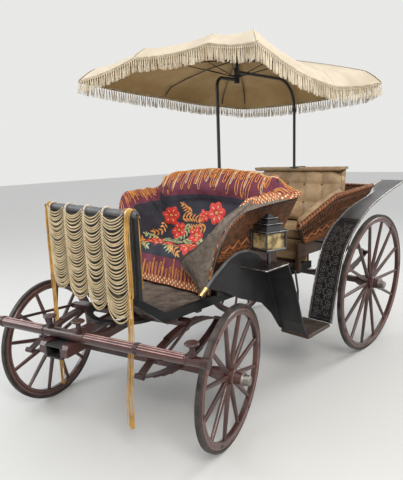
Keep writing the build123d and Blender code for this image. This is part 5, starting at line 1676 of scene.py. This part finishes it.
# %% Steps and floor mat
TREAD_Z = 0.4125
TREAD_X = (0.483, 0.702)
TREAD_Y = (0.988, 1.282)
for side in (-1, 1):
    for y in np.linspace(1.002, 1.268, 16):
        bar = np.array([[(side * 0.484, y, TREAD_Z), (side * 0.701, y, TREAD_Z)]])
        fittings.add(*threads(bar, 0.0036, 6), 1)
    rim = np.array([(side * x, y, TREAD_Z) for x, y in round_a_rectangle(TREAD_X, TREAD_Y)])
    for a, b in zip(rim, rim[1:]):
        fittings.add(*threads(np.array([[a, b]]), 0.0042, 6), 1)
    mat = np.array([[(side * 0.386, -0.060, 0.7815), (side * 0.386, 1.300, 0.7815)]])
    fittings.add(*threads(mat, 0.0055, 6), 2)
fittings.piece("dash_step_and_mat_trim", [TOOLING_HIGHLIGHT_AND_STITCH, STEP_WORN, MAT_EDGE])

# %% [markdown]
# The rear back's rail is finished in leather too: a stuffed roll along its front edge, a flat piece over
# its top that is turned down behind, one over each end, and a lining on the panel below. The flat pieces
# are two-sided cloths a little way out from the wood, so that no hard edge is left where an arm would rest.

# %% Leather over the rear rail
CAP_T, LINING_T = 0.0020, 0.0020
END_T = 0.0022
rail_cap = Heap()
padded_roll(rail_cap, [(x, 1.921, 1.519) for x in np.linspace(-0.440, 0.440, 9)], 0.0175, 0.22, 2.4)
# columns: y, z over the rail from its front to its back
OVER_RAIL = ((1.912, 1.528), (1.930, 1.5335), (2.050, 1.5335), (2.0565, 1.527), (2.0565, 1.514))
line = smooth_path([(0, y, z) for y, z in OVER_RAIL], 24)
cap = line[:, None] + np.linspace((-0.4385, 0, 0), (0.4385, 0, 0), 40)[None]
cap[..., 2] += 0.0008 * np.sin(cap[..., 0] * 60) * np.sin(cap[..., 1] * 90)
# the leather over the rail's top is in the darker tan, which paints shade on it
rail_cap.add(*whole_cloth(cap, CAP_T), 2)

# columns: x, front y at foot and top, back y at foot and top, z of foot and top
RAIL_ENDS = ((0.4362, 1.902, 1.902, 2.0565, 2.0565, 1.5125, 1.5335),
             (0.4204, 1.990, 2.029, 2.0125, 2.0515, 1.120, 1.5125))
for side in (-1, 1):
    for x, front_foot, front_top, back_foot, back_top, low, high in RAIL_ENDS:
        out = side * (x + END_T)
        front = np.linspace((out, front_foot, low), (out, front_top, high), 12)
        back = np.linspace((out, back_foot, low), (out, back_top, high), 12)
        middle = (front + back) / 2 + (side * 0.0015, 0, 0)
        rail_cap.add(*whole_cloth(np.stack([front, middle, back], 1), END_T))
lining = [[(x, 1.985 + 0.041 * (z - 0.987) / 0.525, z) for x in np.linspace(-0.424, 0.424, 24)]
          for z in np.linspace(1.20, 1.511, 10)]
rail_cap.add(*whole_cloth(np.array(lining), LINING_T))
rail_cap.piece("rear_rail_leather", [TAN_LEATHER, TAN_SHADE, TAN_SHADE])

# %% [markdown]
# Small things make the gear look made by hand: beading round the lamp's stepped roof, reeded lines between
# the collars of the splinter bar, and painted lines on the wheels. The lamps come first. They are set at an
# angle to the body, so their trim is laid out square about a lamp's own middle and then turned with it.

# %% Lamps
LAMP_X, LAMP_Y = 0.632, 0.628
LAMP_TURN = math.radians(-16)
PLATE_QUADS = np.array([(0, 3, 2, 1), (4, 5, 6, 7), (0, 1, 5, 4), (1, 2, 6, 5), (2, 3, 7, 6), (3, 0, 4, 7)])
SQUARE = ((1, 1), (-1, 1), (-1, -1), (1, -1))
lamp_trim = Heap()


def turned(points, angle):
    """Points turned about the upright line where x and y are nothing."""
    x, y, z = np.moveaxis(np.asarray(points, float), -1, 0)
    c, s = math.cos(angle), math.sin(angle)
    return np.stack([x * c - y * s, x * s + y * c, z], -1)


def at_lamp(points):
    """Points given from a lamp's own middle, set at the near lamp."""
    return turned(points, LAMP_TURN) + (LAMP_X, LAMP_Y, 0)


def square(half, z, radius, mark):
    """A square of round rod at a height."""
    corners = [(x * half, y * half, z) for x, y in SQUARE]
    for a, b in zip(corners, corners[1:] + corners[:1]):
        lamp_trim.add(*threads(both_hands(at_lamp([[a, b]])), radius, 6), mark)


def ledge(half, z, thick):
    """A thin square plate that stands out all round."""
    near = at_lamp([(x * half, y * half, level) for level in (z, z + thick) for x, y in SQUARE])
    lamp_trim.add(near, PLATE_QUADS)
    lamp_trim.add(near * (-1, 1, 1), PLATE_QUADS[:, ::-1])


for half, z in ((0.0865, 1.2020), (0.0625, 1.2460), (0.0400, 1.2795)):
    ledge(half, z, 0.0060)
    square(half, z + 0.003, 0.0027, 1)
square(0.0745, 1.0945, 0.0040, 1)
square(0.0755, 1.1960, 0.0032, 0)
for x, y in SQUARE:
    post = at_lamp([[(x * 0.0745, y * 0.0745, 1.092), (x * 0.0745, y * 0.0745, 1.200)]])
    lamp_trim.add(*threads(both_hands(post), 0.0048, 6), 0)
lamp_trim.piece("lamp_trim", [LAMP_BLACK, BEADING])

# %% [markdown]
# The splinter bar thins towards its ends and has collars with reeded lines between them. It steers, and at
# rest it stands turned to the carriage's left. So its lines are laid out on a straight bar, turned by that
# rest angle and told to ride the front carriage.

# %% Splinter bar
BAR_LINE = weathered("bar_line", (0.36, 0.19, 0.17), (0.60, 0.38, 0.35), 0.42, 20, 120, 0.0003)
BAR_Y, BAR_Z = -0.550, 0.772
bar_trim = Heap()


def on_bar(x, turn, out):
    """A point on the bar's skin, out metres above it; turn goes round the bar from its back."""
    reach = np.interp(np.abs(x), (0, 0.500, 0.820), (0.028, 0.028, 0.023)) + out
    return np.stack(np.broadcast_arrays(x, BAR_Y + reach * np.cos(turn), BAR_Z + reach * np.sin(turn)), -1)


for x0, x1 in ((0.150, 0.455), (0.485, 0.735)):
    for turn in (148, 122, 96):
        line = on_bar(np.linspace(x0, x1, 24), math.radians(turn), 0.0003)
        bar_trim.add(*threads(turned(both_hands(line[None]), STEER), 0.0024, 5), 0)
for x in (0.140, 0.465, 0.475, 0.745):
    for way in (-1, 1):
        ring = on_bar(x * way, np.linspace(0, 2 * np.pi, 33), 0.0008)
        bar_trim.add(*threads(turned(ring[None], STEER), 0.0034, 6), 1)
bar_trim.piece("splinter_bar_lines", [BAR_LINE, GEAR_PAINT], body="front_carriage")

# %% [markdown]
# Coach painters drew thin lines round the felloes and the hub, and the felloes' joints are covered by small
# straps. Both are placed in the wheel's own plane, which leans by the camber, and each wheel has a piece of
# its own that rides its body, so that the marks go round when it rolls.

# %% Wheel lines
CAMBER = math.radians(2.24)
WHEEL_LINE = weathered("wheel_line", (0.20, 0.085, 0.070), (0.36, 0.18, 0.15), 0.4, 20, 120, 0.0003)
# columns: middle x y z, radius, spokes
WHEELS = {"front": (0.7074, 0.0, 0.4197, 0.420, 12), "rear": (0.7134, 1.9735, 0.5726, 0.573, 14)}
FELLOE_HALF = 0.0172
HUB_RINGS = [(0.0605, 0.030), (0.0480, 0.072)]


def wheel_point(axle, side, radius, turn, out):
    """A point in a wheel's own plane, out metres outside that plane."""
    cx, cy, cz, _, _ = WHEELS[axle]
    up = radius * np.sin(turn)
    x = cx + up * math.sin(CAMBER) + out * math.cos(CAMBER)
    z = cz + up * math.cos(CAMBER) - out * math.sin(CAMBER)
    points = np.stack(np.broadcast_arrays(x, cy + radius * np.cos(turn), z), -1) * (side, 1, 1)
    return turned(points, STEER) if axle == "front" else points


for axle, (_, _, _, radius, spokes) in WHEELS.items():
    felloe_rings = [(radius - inset, way * FELLOE_HALF) for way in (1, -1) for inset in (0.028, 0.050)]
    joints = np.arange(spokes // 2) * 4 * np.pi / spokes + 0.11
    for side, hand in ((1, "left"), (-1, "right")):
        lines = Heap()
        for ring_radius, out in felloe_rings + HUB_RINGS:
            ring = wheel_point(axle, side, ring_radius, np.linspace(0, 2 * np.pi, 145), out)
            lines.add(*threads(ring[None], 0.0014, 4), 0)
        for joint in joints:
            span = np.linspace(joint - 0.035, joint + 0.035, 3)
            for out in (0.0174, -0.0174):
                for strap_radius in (radius - 0.034, radius - 0.044):
                    strap = wheel_point(axle, side, strap_radius, span, out)
                    lines.add(*threads(strap[None], 0.0030, 5), 1)
        lines.piece(f"{axle}_{hand}_wheel_lines", [WHEEL_LINE, RED_IRON], body=f"{axle}_{hand}_wheel")
